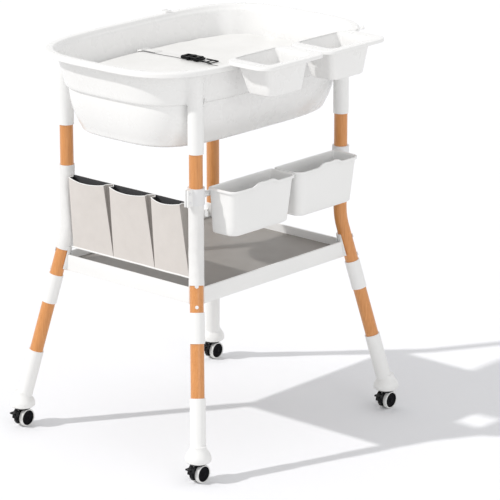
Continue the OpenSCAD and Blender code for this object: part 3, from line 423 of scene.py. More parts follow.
# Tub
tub_low, tub_high = node_box("tub")
RIM_X = (tub_high[0] - tub_low[0]) / 2
RIM_Y = (tub_high[1] - tub_low[1]) / 2
RIM_Z = tub_high[2]
END_POWER, SIDE_POWER = 3.94, 3.63
LIP_H, LIP_T = 12.5, 3.0
WALL_INSET = 24.0
LEDGE_INSET = 40.0
LEDGE_Z = RIM_Z - 84
SHOULDER_Z = LEDGE_Z - 5
LOWER_INSET, LOWER_TAPER = 48.0, 24.0
BOTTOM_CURVE = 24.0
BOTTOM_Z = RIM_Z - 198
TUB_WALL = 3.0
FLOOR_Z = BOTTOM_Z + 3.6
DRAIN_X = 200.0
DRAIN_R, DRAIN_BORE_R = 17, 14
SPIGOT_HOLE_R, SPIGOT_HOLE_H = 8.05, 33
RING_POINTS = 320


def outline_angles(count):
    """Turning parameters of the tub's outline, close together where the posts stand."""
    t = np.linspace(0, 2 * np.pi, 6001)
    x = RIM_X * np.sign(np.cos(t)) * np.abs(np.cos(t)) ** (2 / END_POWER)
    y = RIM_Y * np.sign(np.sin(t)) * np.abs(np.sin(t)) ** (2 / SIDE_POWER)
    near = np.hypot(np.abs(x) - LEG_X - 10, np.abs(y) - LEG_Y - 25)
    step = np.hypot(np.diff(x), np.diff(y)) * (1 + 2.2 * np.exp(-(near[:-1] / 45) ** 2))
    run = np.concatenate([[0], np.cumsum(step)])
    wanted = np.linspace(0, run[-1], count, endpoint=False)
    return np.interp(wanted, run, t)


RING_T = outline_angles(RING_POINTS)


def tub_ring(inset, z, t=RING_T):
    """The tub's outline, a superellipse, drawn in by inset."""
    x = (RIM_X - inset) * np.sign(np.cos(t)) * np.abs(np.cos(t)) ** (2 / END_POWER)
    y = (RIM_Y - inset) * np.sign(np.sin(t)) * np.abs(np.sin(t)) ** (2 / SIDE_POWER)
    return [(a, b, z) for a, b in zip(x, y)]


def socket_ring(inset, z, blend):
    """The tub's outline swollen round the four posts, with soft creases between."""
    a, b = RIM_X - inset, RIM_Y - inset
    flat = np.array(tub_ring(inset, z))[:, :2]
    reach = np.hypot(flat[:, 0], flat[:, 1])
    ray = flat / reach[:, None]
    best = np.zeros(len(flat))
    for r in np.linspace(-3, 46, 246):
        p = ray * (reach + r)[:, None]
        sx, sy = np.abs(p[:, 0]) / a, np.abs(p[:, 1]) / b
        level = sx ** END_POWER + sy ** SIDE_POWER - 1
        slope = np.hypot(END_POWER * sx ** (END_POWER - 1) / a, SIDE_POWER * sy ** (SIDE_POWER - 1) / b)
        wall = level / slope
        post = np.hypot(np.abs(p[:, 0]) - LEG_X, np.abs(p[:, 1]) - LEG_Y) - POST_R
        part = np.clip(0.5 + 0.5 * (post - wall) / blend, 0, 1)
        both = post * (1 - part) + wall * part - blend * part * (1 - part)
        best = np.where(both <= 0, r, best)
    return [(x, y, z) for x, y in ray * (reach + best)[:, None]]


def floor_turn(inset, z):
    """The quarter turn between the tub's floor and its wall, from the floor up, as (inset, height)."""
    return [(inset + BOTTOM_CURVE * (1 - math.sin(a)), z + BOTTOM_CURVE / 2 * (1 - math.cos(a)))
            for a in (math.pi / 2 * i / 8 for i in range(9))]


def tub_mesh():
    outer_turn = floor_turn(LOWER_INSET + LOWER_TAPER, BOTTOM_Z)
    inner_turn = floor_turn(LOWER_INSET + LOWER_TAPER + TUB_WALL, FLOOR_Z)[::-1]
    wall_top = RIM_Z - LIP_H
    inner = LEDGE_INSET + TUB_WALL
    rings = [tub_ring(inset, BOTTOM_Z) for inset in (190, 150, 120)]
    rings += [tub_ring(*point) for point in outer_turn]
    for share in (0.12, 0.25, 0.4, 0.55, 0.7, 0.85, 1):
        rings.append(tub_ring(LOWER_INSET + LOWER_TAPER * (1 - share) - 6 * math.sin(math.pi * share) ** 0.8,
                              mix(outer_turn[-1][1], SHOULDER_Z - 1.5, share)))
    # The rounded shoulder steps out, and from here up the wall swells round the posts
    rings += [socket_ring(inset, z, blend) for inset, z, blend in (
        (46.6, SHOULDER_Z, 4), (43, SHOULDER_Z + 0.8, 5), (40.8, SHOULDER_Z + 2.6, 7), (39.7, LEDGE_Z, 10))]
    for share in (i / 10 for i in range(1, 11)):
        inset, z = mix(LEDGE_INSET, WALL_INSET, share), mix(LEDGE_Z, wall_top, share)
        rings.append(socket_ring(inset, z, 12 + 10 * share))
    rings += [socket_ring(inset, RIM_Z - drop, 22) for inset, drop in ((22.6, 9), (20.6, 6), (18, 3.9))]
    rings += [tub_ring(inset, RIM_Z - drop) for inset, drop in (
        (15.5, LIP_T + 0.1), (6, LIP_T), (4, 3.6), (LIP_T, 5), (LIP_T, LIP_H - 1), (2.2, LIP_H), (0.8, LIP_H),
        (0, LIP_H - 1), (0, 4.4), (0.25, 3), (1.05, 1.5), (2.2, 0.6), (3.8, 0.1), (6, 0), (15, 0),
        (16.6, 0.3), (17.8, 1), (18.9, 2.2), (19.8, 4), (21.4, 7), (24, LIP_H - 3))]
    for share in (i / 10 for i in range(11)):
        rings.append(tub_ring(mix(WALL_INSET + TUB_WALL, inner, share), mix(wall_top, LEDGE_Z + 2.4, share)))
    rings += [tub_ring(inner + run, LEDGE_Z + rise) for run, rise in (
        (0.9, 0.9), (2.6, 0), (6.2, 0), (7.6, -0.6), (8.2, -2.2))]
    for share in (0.25, 0.5, 0.75):
        inset = LOWER_INSET + TUB_WALL + 0.2 + LOWER_TAPER * share - 2 * math.sin(math.pi * share)
        rings.append(tub_ring(inset, mix(LEDGE_Z - 2.2, inner_turn[0][1], share)))
    rings += [tub_ring(*point) for point in inner_turn]
    rings += [tub_ring(inset, FLOOR_Z) for inset in (125, 155, 190)]
    return loft(rings)


def tub():
    piece = make("tub_shell", *tub_mesh(), "gloss", "tub", "tub")
    drain = (-DRAIN_X, 0, BOTTOM_Z)
    outlet = [(0.001, -10), (DRAIN_R - 0.8, -10), (DRAIN_R, -9.2), (DRAIN_R, -1.5), (DRAIN_R + 1.6, 0),
              (DRAIN_R + 1.6, 1.5), (0.001, 1.5)]
    combine(piece, "UNION", *lathe(outlet, drain, closed=False))
    combine(piece, "DIFFERENCE", *lathe([(DRAIN_BORE_R, -12), (DRAIN_BORE_R, 8)], drain, closed=False))
    for sx, sy in CORNERS.values():
        hole = [(SPIGOT_HOLE_R, -2), (SPIGOT_HOLE_R, SPIGOT_HOLE_H)]
        combine(piece, "DIFFERENCE", *lathe(hole, (sx * LEG_X, sy * LEG_Y, SHOULDER_Z), n=32, closed=False))
    smooth(piece.data, 34)


def rim_clips():
    """Small clips that straddle the rim: a saddle with a notch between two ears."""
    half_ears = [(10, 0), (10, 4.4), (8.4, 6), (6.2, 6), (4.4, 4.8), (2.4, 2.2)]
    ears = [(-x, z) for x, z in half_ears] + half_ears[::-1]
    upright = Matrix.Rotation(math.radians(90), 3, "X")
    parts = []
    for share_x, share_y, angle in ((0.8, -0.88, -45), (0.35, 0.975, 84)):
        turn = Matrix.Rotation(math.radians(angle), 3, "Z")
        parts.append(prism(ears, -9.5, 9.5, turn @ upright, (share_x * RIM_X, share_y * RIM_Y, RIM_Z)))
    bevelled("rim_clip_pair", parts, "gloss", "tub", "rim_clips", edge=0.6)


def drain_plug():
    top = node_box("drain_plug")[1][2]
    base = FLOOR_Z + 0.2
    profile = [(0.001, base - 6), (13.2, base - 6), (13.9, base - 5.2), (13.9, base - 0.2), (17, base),
               (18, base + 0.7), (18, base + 1.8), (17.2, base + 2.6), (14, base + 3), (7.5, base + 3.1),
               (5.6, base + 3.8), (4.3, base + 6), (4.6, base + 8.6), (5, top - 1.4), (4.2, top - 0.2),
               (0.001, top)]
    stopper = lathe(profile, (-DRAIN_X, 0, 0), n=48, closed=False)
    make("drain_stopper", *stopper, "grey_rubber", "plug", "drain_plug")


# Changing pad
PAD_INSET = LEDGE_INSET + TUB_WALL + 2
BOARD_INSET = LEDGE_INSET + TUB_WALL + 3
PAD_SHRINK, PAD_CAP = 3.2, 3.4
PAD_STEPS = 16
pad_low, pad_high = node_box("pad_cushion")
PAD_H = pad_high[2] - pad_low[2]
# The pad's side and crown as (inset beyond the pad's edge, share of the height)
PAD_PROFILE = [
    (150, 0), (90, 0), (40, 0), (17, 0.0), (10, 0.03), (6, 0.1), (4.2, 0.24), (3.8, 0.38), (4.0, 0.55),
    (4.8, 0.7), (7, 0.81), (12, 0.88), (22, 0.92), (40, 0.945), (64, 0.962), (92, 0.976),
    (120, 0.99), (150, 1), (180, 1)]
PAD_CLOTH = {"quality": 6, "use_pressure": True, "uniform_pressure_force": 4, "vertex_group_mass": "held",
             "tension_stiffness": 12, "compression_stiffness": 12, "bending_stiffness": 0.6}


def pad_board():
    board_low, board_high = node_box("pad_board")
    z0, z1 = board_low[2], board_high[2]
    rings = [tub_ring(BOARD_INSET + inset, z) for inset, z in (
        (150, z0), (60, z0), (0.8, z0), (0, z0 + 0.8), (0, z1 - 0.8), (0.8, z1), (60, z1), (150, z1))]
    make("pad_base_board", *loft(rings), "board", "pad", "pad_board")


def simulate_pad(piece):
    """Blows the pad up a little with cloth so that its cover puckers, and keeps the result."""
    work = add_object("pad_work", piece.data.copy())
    modify(work, "REMESH", mode="VOXEL", voxel_size=5.8 * MM, use_smooth_shade=True)
    start = np.array([v.co for v in work.data.vertices])
    low = start[:, 2].min()
    held = [i for i, p in enumerate(start) if p[2] < low + 1.5 * MM]
    work.vertex_groups.new(name="held").add(held, 1.0, "ADD")
    cloth = work.modifiers.new("cloth", "CLOTH").settings
    for key, value in PAD_CLOTH.items():
        setattr(cloth, key, value)
    cloth.effector_weights.gravity = 0
    scene = bpy.context.scene
    for step in range(1, PAD_STEPS + 1):
        scene.frame_set(step)
    graph = bpy.context.evaluated_depsgraph_get()
    result = work.evaluated_get(graph).to_mesh()
    move = np.array([v.co for v in result.vertices]) - start
    length = np.linalg.norm(move, axis=1)
    scaled = move * (np.minimum(length, PAD_CAP * MM) / np.maximum(length, 1e-9))[:, None]
    work.modifiers.clear()
    for vertex, p in zip(work.data.vertices, start + scaled):
        vertex.co = p
    scene.frame_set(1)
    modify(work, "SMOOTH", factor=0.5, iterations=6)
    final = work.data.copy()
    bpy.data.objects.remove(work)
    old = piece.data
    look = old.materials[0]
    piece.data = final
    final.materials.clear()
    final.materials.append(look)
    bpy.data.meshes.remove(old)


def pad_cushion():
    # The simulated cover swells, so it starts a little smaller
    shrink = PAD_SHRINK
    t = outline_angles(240)
    rings = [tub_ring(PAD_INSET + inset + shrink * min(1, share * 3),
                      pad_low[2] + 0.2 + (PAD_H - shrink * 0.9) * share, t) for inset, share in PAD_PROFILE]
    piece = make("pad_cover", *loft(rings), "vinyl", "pad", "pad_cushion", angle=60)
    simulate_pad(piece)
    modify(piece, "SUBSURF", levels=1, render_levels=1)
    mesh = piece.data
    for vertex in mesh.vertices:
        x, y, z = vertex.co.x / MM, (vertex.co.y - MID_Y) / MM, vertex.co.z / MM
        if (z - pad_low[2]) / PAD_H > 0.5:
            z += wobble((x, y, 0), 95, 1.0, 3.1) + wobble((x, y, 0), 38, 0.45, 7.7)
        vertex.co.z = min(z, pad_high[2] + 2.2) * MM
    mesh.shade_smooth()
    return piece


def pad_piping():
    """The welded seam round the pad's widest line."""
    ring = tub_ring(PAD_INSET + 3.2, pad_low[2] + 0.36 * PAD_H, outline_angles(260))
    make("pad_piping", *tube(ring + ring[:2], 1.35, 8), "vinyl", "pad", angle=60)


# Safety belt over the pad
BELT_X = -12.0
BELT_W, BELT_T = 24.0, 1.5
BELT_LIFT = 0.25
BELT_STEPS = 46
BELT_CLIP_Y = 186.5
STITCH_ROWS = (140.0, 144.5)
STITCHES = 9


def top_finder(piece):
    """A function that gives the height of a piece's top in millimetres at a place."""
    graph = bpy.context.evaluated_depsgraph_get()
    mesh = piece.evaluated_get(graph).to_mesh()
    tree = BVHTree.FromPolygons([v.co[:] for v in mesh.vertices], [p.vertices[:] for p in mesh.polygons])

    def top(x, y):
        hit = tree.ray_cast(Vector((x * MM, MID_Y + y * MM, 1.2)), Vector((0, 0, -1)))[0]
        return hit.z / MM if hit is not None else pad_low[2]
    return top


def strap(points, width, thick):
    """A flat strap with rounded selvedges. Points are (y, z) of its underside, drawn across the pad."""
    half = width / 2
    flat = half - 0.7
    section = [(-flat, 0), (flat, 0), (half, 0.35 * thick), (half, 0.65 * thick), (flat, thick),
               (half * 0.5, thick * 1.02), (0, thick * 1.03), (-half * 0.5, thick * 1.02), (-flat, thick),
               (-half, 0.65 * thick), (-half, 0.35 * thick)]
    rings = []
    for k, (y, z) in enumerate(points):
        a = points[max(k - 1, 0)]
        b = points[min(k + 1, len(points) - 1)]
        along = Vector((0, b[0] - a[0], b[1] - a[1])).normalized()
        up = Vector((0, -along.z, along.y))
        if up.z < 0:
            up = -up
        rings.append([tuple(Vector((BELT_X + s, y, z)) + up * h) for s, h in section])
    return loft(rings)


def belt(top):
    """One strap from the pad's edge to the socket and one to the tongue, each with a stitched fold."""
    half_width = RIM_Y - PAD_INSET
    edge = half_width - 7.0

    def run(y0, y1):
        ys = [y0 + (y1 - y0) * i / BELT_STEPS for i in range(BELT_STEPS + 1)]
        return [(y, max(top(BELT_X + s, y) for s in (-12, -6, 0, 6, 12)) + BELT_LIFT) for y in ys]

    runs = {1: run(edge, node_box("buckle_socket")[0][1] + 48.5),
            -1: run(-edge, node_box("buckle_tongue")[0][1] + 12)}
    parts, stitches = [], []
    for side, points in runs.items():
        z = points[0][1]
        drop = [(side * (half_width - 2.6), z - 9.0), (side * (half_width - 3.2), z - 4.5)]
        parts.append(strap(drop + points, BELT_W, BELT_T))
        fold = [(y, z + BELT_T + 0.1) for y, z in points if BELT_CLIP_Y - 52 < abs(y) < BELT_CLIP_Y - 9]
        parts.append(strap(fold, BELT_W - 0.6, BELT_T * 0.9))
        places, heights = zip(*sorted((abs(y), z) for y, z in points))
        for row in STITCH_ROWS:
            y, z = side * row, np.interp(row, places, heights) + 2 * BELT_T + 0.1
            for x in (BELT_X - 10 + 2.5 * k for k in range(STITCHES)):
                stitches.append(tube([(x - 0.8, y, z), (x, y, z + 0.32), (x + 0.8, y, z)], 0.28, 6))
    piece = make("belt_straps", *join(*parts), "webbing", "pad", "belt_webbing", angle=50)
    # The strap's side faces are dark grey: painted shade along its edges
    piece.data.materials.append(MATERIALS["strap_edge_shade"])
    for face in piece.data.polygons:
        if abs(face.normal.x) > 0.5:
            face.material_index = 1
    make("belt_stitches", *join(*stitches), "piping", "pad")


def belt_clips(top):
    """Plastic end clips: a rounded frame with a bar that the webbing folds round."""
    frame_and_bar = [((-15, -12.6), (-6.5, 6.5), -1.4, 2.2), ((12.6, 15), (-6.5, 6.5), -1.4, 2.2),
                     ((-13, 13), (3.6, 6.5), -0.9, 2.2), ((-13, 13), (-6.5, -3.6), -0.9, 2.2),
                     ((-13, 13), (-1.3, 1.3), 0.4, 2.6)]
    parts = []
    for side in (-1, 1):
        y = side * BELT_CLIP_Y
        tilt = Matrix.Rotation(-side * math.radians(12), 3, "X")
        at = (BELT_X, y, top(BELT_X, y) + BELT_T + 1.5)
        parts += [block((xs[0], ys[0], z0), (xs[1], ys[1], z1), tilt, at) for xs, ys, z0, z1 in frame_and_bar]
    bevelled("belt_end_clips", parts, "gloss", "pad", edge=0.45)


# How much lower the shown buckle is than its solids
BUCKLE_DROP = 1.6
# Half widths of the socket's barrel at shares of its length
BARREL = ((0, 14.4), (0.06, 15.2), (0.14, 15.2), (0.18, 13.2), (0.42, 13.0), (0.5, 16.2), (0.58, 16.2),
          (0.72, 13.4), (0.93, 12.6), (1, 11.4))
BARREL_RIM = 3.4


def buckle_socket():
    """Two cheeks with a wide window and a slot for the webbing, side walls, a middle bar and thumb ridges."""
    low, high = node_box("buckle_socket")
    y0, y1, z0, z1 = low[1], high[1], low[2], high[2] - BUCKLE_DROP
    wall = 1.9
    core = (z0 + wall * 0.5, z1 - wall * 0.5)

    def at(share):
        return mix(y0, y1, share)

    parts = []
    slabs = ((0, 0.13), (0.44, 0.66), (0.9, 1))
    for cheek in ((z0, z0 + wall), (z1 - wall, z1)):
        parts += [bar(BELT_X, 12.4, (at(a) + 0.4, at(b) - 0.4), cheek) for a, b in slabs]
        for side in (-1, 1):
            rim = [(side * half, at(share)) for share, half in BARREL]
            inside = [(x - side * BARREL_RIM, y) for x, y in rim]
            parts.append(prism(rim + inside[::-1], *cheek, at=(BELT_X, 0, 0)))
    parts.append(bar(BELT_X, 15.2, (at(0.46), at(0.62)), core))
    for side in (-1, 1):
        parts.append(bar(BELT_X + side * 14.2, 1.3, (y0, at(0.13)), core))
        parts.append(bar(BELT_X + side * 13.4, 1.1, (at(0.6), y1 - 0.5), core))
    parts.append(bar(BELT_X, 13.4, (y1 - 3.4, y1 - 0.4), (z0 + 1, z1 - 1)))
    for y in (at(0.48), at(0.53), at(0.58)):
        parts.append(bar(BELT_X, 7, (y, y + 1.1), (z1 - 0.4, z1 + 0.5)))
    bevelled("buckle_socket_shell", parts, "black", "pad", "buckle_socket", edge=0.5)


def buckle_tongue():
    """A head with ridges, a guide and two springy prongs with arrow heads, and a ladder for the webbing."""
    low, high = node_box("buckle_tongue")
    y0, tip, z0, z1 = low[1], high[1], low[2], high[2] - BUCKLE_DROP
    split = node_box("buckle_socket")[0][1] - 0.2
    mid_z = (z0 + z1) / 2 + 0.4
    parts = [bar(BELT_X, 15.6, (split - 5, split - 0.3), (z0, z1))]
    # The ladder's two cheeks and two bars end 5 mm short of the head
    ladder_end = split - 11
    for side in (-1, 1):
        parts.append(bar(BELT_X + side * 13.2, 1.3, (y0, ladder_end + 1), (z0 + 1.2, z0 + 4.2)))
    for y in (y0, mix(y0, ladder_end, 0.45)):
        parts.append(bar(BELT_X, 13, (y, y + 2), (z0 + 1.4, z0 + 3.6)))
    parts.append(bar(BELT_X, 1.6, (split - 1, tip), (mid_z - 1.3, mid_z + 1.3)))
    prong = [(8.6, split - 1), (11.2, split - 1), (11.6, split + 9), (13.0, split + 10.5), (13.2, split + 14),
             (11.4, tip - 1), (9.4, tip), (8.8, tip - 3), (9.0, split + 8)]
    for side in (-1, 1):
        parts.append(prism([(side * x, y) for x, y in prong], mid_z - 1.7, mid_z + 1.7, at=(BELT_X, 0, 0)))
    parts += [bar(BELT_X, 8, (y, y + 1.3), (z1 - 0.3, z1 + 0.5)) for y in (split - 8, split - 4.8)]
    bevelled("buckle_tongue_shell", parts, "black", "tongue", "buckle_tongue", edge=0.45)


# Boxes that hang on the rim and bins that hang on the rail
BOX_CORNER, BOX_BODY_CORNER, BOX_WALL = 35.0, 16.0, 2.4
RAIL_Z, RAIL_R = 650.0, 7.0
HOOK_HALF, HOOK_T = 55.0, 2.4
WAVE_H = 8.0


def rounded_ring(x0, x1, y0, y1, r_front, r_back, z, corner=10, side=24):
    """A rounded rectangle with points along its sides too, counter-clockwise from the front right."""
    points = []
    corners = ((x1 - r_front, y0 + r_front, r_front, -90), (x1 - r_back, y1 - r_back, r_back, 0),
               (x0 + r_back, y1 - r_back, r_back, 90), (x0 + r_front, y0 + r_front, r_front, 180))
    for k, (cx, cy, r, start) in enumerate(corners):
        for i in range(corner + 1):
            a = math.radians(start + 90 * i / corner)
            points.append((cx + r * math.cos(a), cy + r * math.sin(a), z))
        nx, ny, nr, nstart = corners[(k + 1) % 4]
        a = math.radians(nstart)
        end = (nx + nr * math.cos(a), ny + nr * math.sin(a), z)
        begin = points[-1]
        for i in range(1, side):
            points.append(tuple(begin[m] + (end[m] - begin[m]) * i / side for m in range(3)))
    return points


def tray_ring(mid_x, half, front, back, radii, inset, z):
    """A rounded rectangle about mid_x from y = -front to y = -back, drawn in by inset on every side."""
    return rounded_ring(mid_x - half + inset, mid_x + half - inset, -front + inset, -back - inset, *radii, z)


def hook(name, look, x, tongue, lip, edge):
    """A flat tongue and its lip, each as (two ends in y, two ends in z). It rides with its box or bin."""
    bevelled(name + "_hook", [bar(x, HOOK_HALF, *tongue), bar(x, HOOK_HALF, *lip)], look, name, edge=edge)


def top_box(side):
    label = "left" if side < 0 else "right"
    name = "top_box_" + label
    low, high = node_box(name)
    mid_x, half = (low[0] + high[0]) / 2, (high[0] - low[0]) / 2
    front, top, bottom = -low[1], high[2], low[2]
    wall, depth = BOX_WALL, high[2] - low[2]

    def flange(inset, z):
        return tray_ring(mid_x, half, front, RIM_Y - 1, (BOX_CORNER - inset, BOX_CORNER - inset), inset, z)

    def body(inset, share, z, extra=0.0):
        """share 0 is the mouth, 1 the bottom of the slanted walls."""
        radius = BOX_BODY_CORNER - inset * 0.6
        return tray_ring(mid_x, half - 36 - 15 * share, front - 24 - 7 * share, RIM_Y + 1.5 + 24 * share,
                         (radius, radius), inset + extra, z)

    rings = [body(0, 1, bottom, 30), body(0, 1, bottom, 6), body(0, 1, bottom + 0.5, 3),
             body(0, 1, bottom + 2.2, 0.8), body(0, 0.985, bottom + 4.6)]
    rings += [body(0, share, top - wall - (depth - 6) * share) for share in (0.8, 0.6, 0.4, 0.2, 0.06)]
    rings += [body(-1.0, 0, top - wall - 1.2), body(-2.6, 0, top - wall)]
    rings += [flange(inset, top - drop) for inset, drop in (
        (4, wall + 0.05), (3, wall + 0.5), (wall, wall + 2), (wall, 7.4), (wall * 0.8, 8), (0.5, 8), (0, 7.4),
        (0, 2.6), (0.35, 1.4), (1.1, 0.5), (2.4, 0), (5, 0))]
    rings += [body(inset, share, top - drop) for inset, share, drop in (
        (-3.2, 0, 0), (-1.2, 0, 0.35), (0.4, 0, 1.3), (1.6, 0, 3), (wall, 0.02, 5.5))]
    rings += [body(wall, share, top - wall - (depth - 8) * share) for share in (0.2, 0.4, 0.6, 0.8, 0.96)]
    for rise, extra in ((2.6, 0.6), (0.7, 2.4), (0, 6), (0, 28)):
        rings.append(body(wall, 1, bottom + wall + rise, extra))
    verts, faces = loft(rings)
    soft = [(x, y, z + (wobble((x, y, 0), 70, 0.35, side * 2.0) if z > top - 10 else 0)) for x, y, z in verts]
    make(name + "_shell", soft, faces, "gloss", name, name)
    over = RIM_Z + 0.2 + HOOK_T
    hook(name, "gloss", mid_x, ((-RIM_Y - 5, -RIM_Y + 31), (RIM_Z + 0.2, over)),
         ((-RIM_Y + 28.5, -RIM_Y + 30.9), (RIM_Z - 8, over)), 0.8)


def wave(x):
    """Height of the wave in a bin's front edge, as a share, at a share of its half width."""
    a = abs(x)
    if a >= 1:
        return 0.0
    if a > 0.5:
        return 0.5 + 0.5 * math.cos(math.pi * (a - 0.5) / 0.5)
    return 1 - 0.12 * (0.5 + 0.5 * math.cos(math.pi * a / 0.5))


def storage_bin(side):
    label = "left" if side < 0 else "right"
    name = "bin_" + label
    low, high = node_box(name)
    mid_x, half = (low[0] + high[0]) / 2, (high[0] - low[0]) / 2
    front, back = -low[1], LEG_Y + RAIL_R + 0.2
    top, bottom = high[2] - WAVE_H, low[2]
    taper, flange_w, wall, depth = 9.0, 4.0, BOX_WALL, top - bottom

    def flange(inset, z):
        return tray_ring(mid_x, half, front, back - inset * 0.5, (24 - inset, max(6 - inset, 1.5)), inset, z)

    def body(inset, share, z, extra=0.0):
        """share 0 is the mouth, 1 the bottom of the slanted walls."""
        slant = flange_w + taper * share
        return tray_ring(mid_x, half - slant, front - slant, back + 0.4, (20 - inset, max(6 - inset, 2.0)),
                         inset + extra, z)

    rings = [body(0, 1, bottom, 40), body(0, 1, bottom, 7), body(0, 1, bottom + 0.6, 3.4),
             body(0, 1, bottom + 2.4, 1), body(0, 0.985, bottom + 5)]
    rings += [body(0, share, top - (depth - 5) * share) for share in (0.8, 0.6, 0.4, 0.2, 0.08)]
    rings += [body(0, 0.02, top - 3.6), body(-0.2, 0, top - 2.6)]
    rings += [flange(inset, top - drop) for inset, drop in (
        (2.2, 2.5), (1.7, 3), (1.7, 5.4), (1.2, 6), (0.4, 6), (0, 5.4), (0, 1), (0.35, 0.3), (1.2, 0))]
    rings += [body(inset, share, top - drop) for inset, share, drop in (
        (-0.6, 0, 0.05), (0.6, 0, 0.4), (1.6, 0, 1.6), (wall, 0.02, 3.6))]
    rings += [body(wall, share, top - (depth - 7) * share) for share in (0.2, 0.4, 0.6, 0.8, 0.96)]
    for rise, extra in ((2.8, 0.6), (0.8, 2.6), (0, 7), (0, 38)):
        rings.append(body(wall, 1, bottom + wall + rise, extra))
    verts, faces = loft(rings)
    lifted = []
    for x, y, z in verts:
        if z > top - 12 and y < -front + 12:
            share = min(1.0, (z - (top - 12)) / 6) * min(1.0, max(0.0, (-front + 12 - y) / 4))
            z += WAVE_H * wave((x - mid_x) / (half * 2 / 5)) * share
        lifted.append((x, y, z))
    make(name + "_shell", lifted, faces, "white", name, name)
    rail_back, over = -LEG_Y + RAIL_R + 0.2, RAIL_Z + RAIL_R + 0.2
    hook(name, "white", mid_x, ((-back - 0.6, rail_back + HOOK_T), (over, over + HOOK_T)),
         ((rail_back, rail_back + HOOK_T), (RAIL_Z - RAIL_R / 2, over + HOOK_T)), 0.7)


# Organizer: fabric sleeves on two legs, a panel between them and three pockets
FOOT_X, FOOT_Y, BEND_Z, ANKLE_Z, BEND_R, TUBE_R = 341.0, 288.0, 494.0, 59.0, 200.0, 16.0
RUN = math.hypot(FOOT_X - LEG_X, FOOT_Y - LEG_Y)
SPLAY = math.atan(RUN / (BEND_Z - ANKLE_Z))
BEND_TOP = BEND_Z + BEND_R * math.tan(SPLAY / 2)
BEND_LOW = BEND_Z - BEND_R * math.tan(SPLAY / 2) * math.cos(SPLAY)
COLLAR_TOP, COLLAR_H = 671.0, 39.0
# The sleeves' ends, by the side that they are on
SLEEVE_TOPS = {-1: COLLAR_TOP - COLLAR_H - 0.6, 1: 653.0}
SLEEVE_LOWS = {-1: 442.0, 1: 446.0}
SLEEVE_POINTS, SLEEVE_STEPS = 56, 84
HEM_Z, MOUTH_Z = 452.0, 630.0
PANEL_X, PANEL_T = -LEG_X, 1.4
PANEL_ROWS, PANEL_COLS = 40, 72
# The pockets' borders as shares of the half width, from the back
EDGES = [1, 0.29, -0.42, -1]
POCKET_HALF = LEG_Y - 18 - 1.6
POCKET_NAMES = ["back", "middle", "front"]
POCKET_FOOT = HEM_Z + 2
POCKET_ROWS, POCKET_SPANS, GUSSET_SPANS = 44, 26, 6
POCKET_T = 0.9


def leg_off(z):
    """How far the leg's axis has moved out from its upright part at a height."""
    if z >= BEND_TOP:
        return 0.0
    if z >= BEND_LOW:
        return BEND_R - math.sqrt(BEND_R ** 2 - (BEND_TOP - z) ** 2)
    return (BEND_Z - z) * math.tan(SPLAY)


def leg_point(sx, sy, z):
    off = leg_off(z)
    x, y = LEG_X + off * (FOOT_X - LEG_X) / RUN, LEG_Y + off * (FOOT_Y - LEG_Y) / RUN
    return Vector((sx * x, sy * y, z))


def fabric_sleeve(sy):
    """Cloth tube round a leg, puckered a little, with hems."""
    label = "front" if sy < 0 else "back"
    top, low = SLEEVE_TOPS[sy], SLEEVE_LOWS[sy]
    outer, inner = [], []
    for k in range(SLEEVE_STEPS + 1):
        z = top + (low - top) * k / SLEEVE_STEPS
        here = leg_point(-1, sy, z)
        ahead = (leg_point(-1, sy, z - 1.5) - leg_point(-1, sy, z + 1.5)).normalized()
        side = (Vector((0, 1, 0)) - ahead * ahead.y).normalized()
        other = ahead.cross(side)
        hem = 0.35 if (k < 5 or k > SLEEVE_STEPS - 5) else 0.0
        ease = min(1, min(k, SLEEVE_STEPS - k) / SLEEVE_STEPS * 14)
        ring_out, ring_in = [], []
        for c, s in circle(SLEEVE_POINTS):
            slow, fine = (30 * c, 30 * s, z), (30 * c, 30 * s, z * 0.35)
            pucker = wobble(slow, 26, 0.55, sy * 4.2) + wobble(fine, 9, 0.3, sy * 1.7)
            direction = c * side + s * other
            ring_out.append(tuple(here + direction * (TUBE_R + 1.85 + hem + pucker * ease)))
            ring_in.append(tuple(here + direction * (TUBE_R + 0.5)))
        outer.append(ring_out)
        inner.append(ring_in)
    rings = outer + inner[::-1]
    cloth = loft(rings + rings[:1], capped=False)
    piece = make("organizer_sleeve_" + label, *cloth, "panel", "frame", angle=60)


def panel_half(z):
    return LEG_Y + leg_off(z) * (FOOT_Y - LEG_Y) / RUN - 17.6


def organizer_panel():
    """The back sheet between the sleeves, pulled a little slack, with hems along its foot and its mouth."""
    rows, cols = PANEL_ROWS, PANEL_COLS
    front, back = [], []
    height = MOUTH_Z + 1.4 - HEM_Z
    for j in range(rows + 1):
        z = HEM_Z + height * j / rows
        hem = 0.5 if (j < 3 or j > rows - 3) else 0.0
        for i in range(cols + 1):
            u = -1 + 2 * i / cols
            y = u * panel_half(z)
            slack = (1 - u * u) * wobble((0, y, z), 60, 1.2, 5.5)
            front.append((PANEL_X - PANEL_T / 2 - hem + slack, y, z))
            back.append((PANEL_X + PANEL_T / 2 + hem + slack, y, z))
    w = cols + 1
    base = len(front)
    faces = []
    for a in (j * w + i for j in range(rows) for i in range(cols)):
        faces.append((a, a + 1, a + w + 1, a + w))
        faces.append((base + a, base + a + w, base + a + w + 1, base + a + 1))
    border = list(range(w)) + [j * w + cols for j in range(1, rows + 1)] \
        + [rows * w + i for i in range(cols - 1, -1, -1)] + [j * w for j in range(rows - 1, 0, -1)]
    for a, b in zip(border, border[1:] + border[:1]):
        faces.append((a, base + a, base + b, b))
    piece = make("organizer_back_sheet", front + back, faces, "panel", "frame", "organizer_panel", angle=60)
    # The sheet's face inside the pockets is near black: painted shade
    piece.data.materials.append(MATERIALS["pocket_inside_shade"])
    for face in piece.data.polygons:
        if face.normal.x < -0.5 and abs(face.center.y - MID_Y) < POCKET_HALF * MM:
            face.material_index = 1


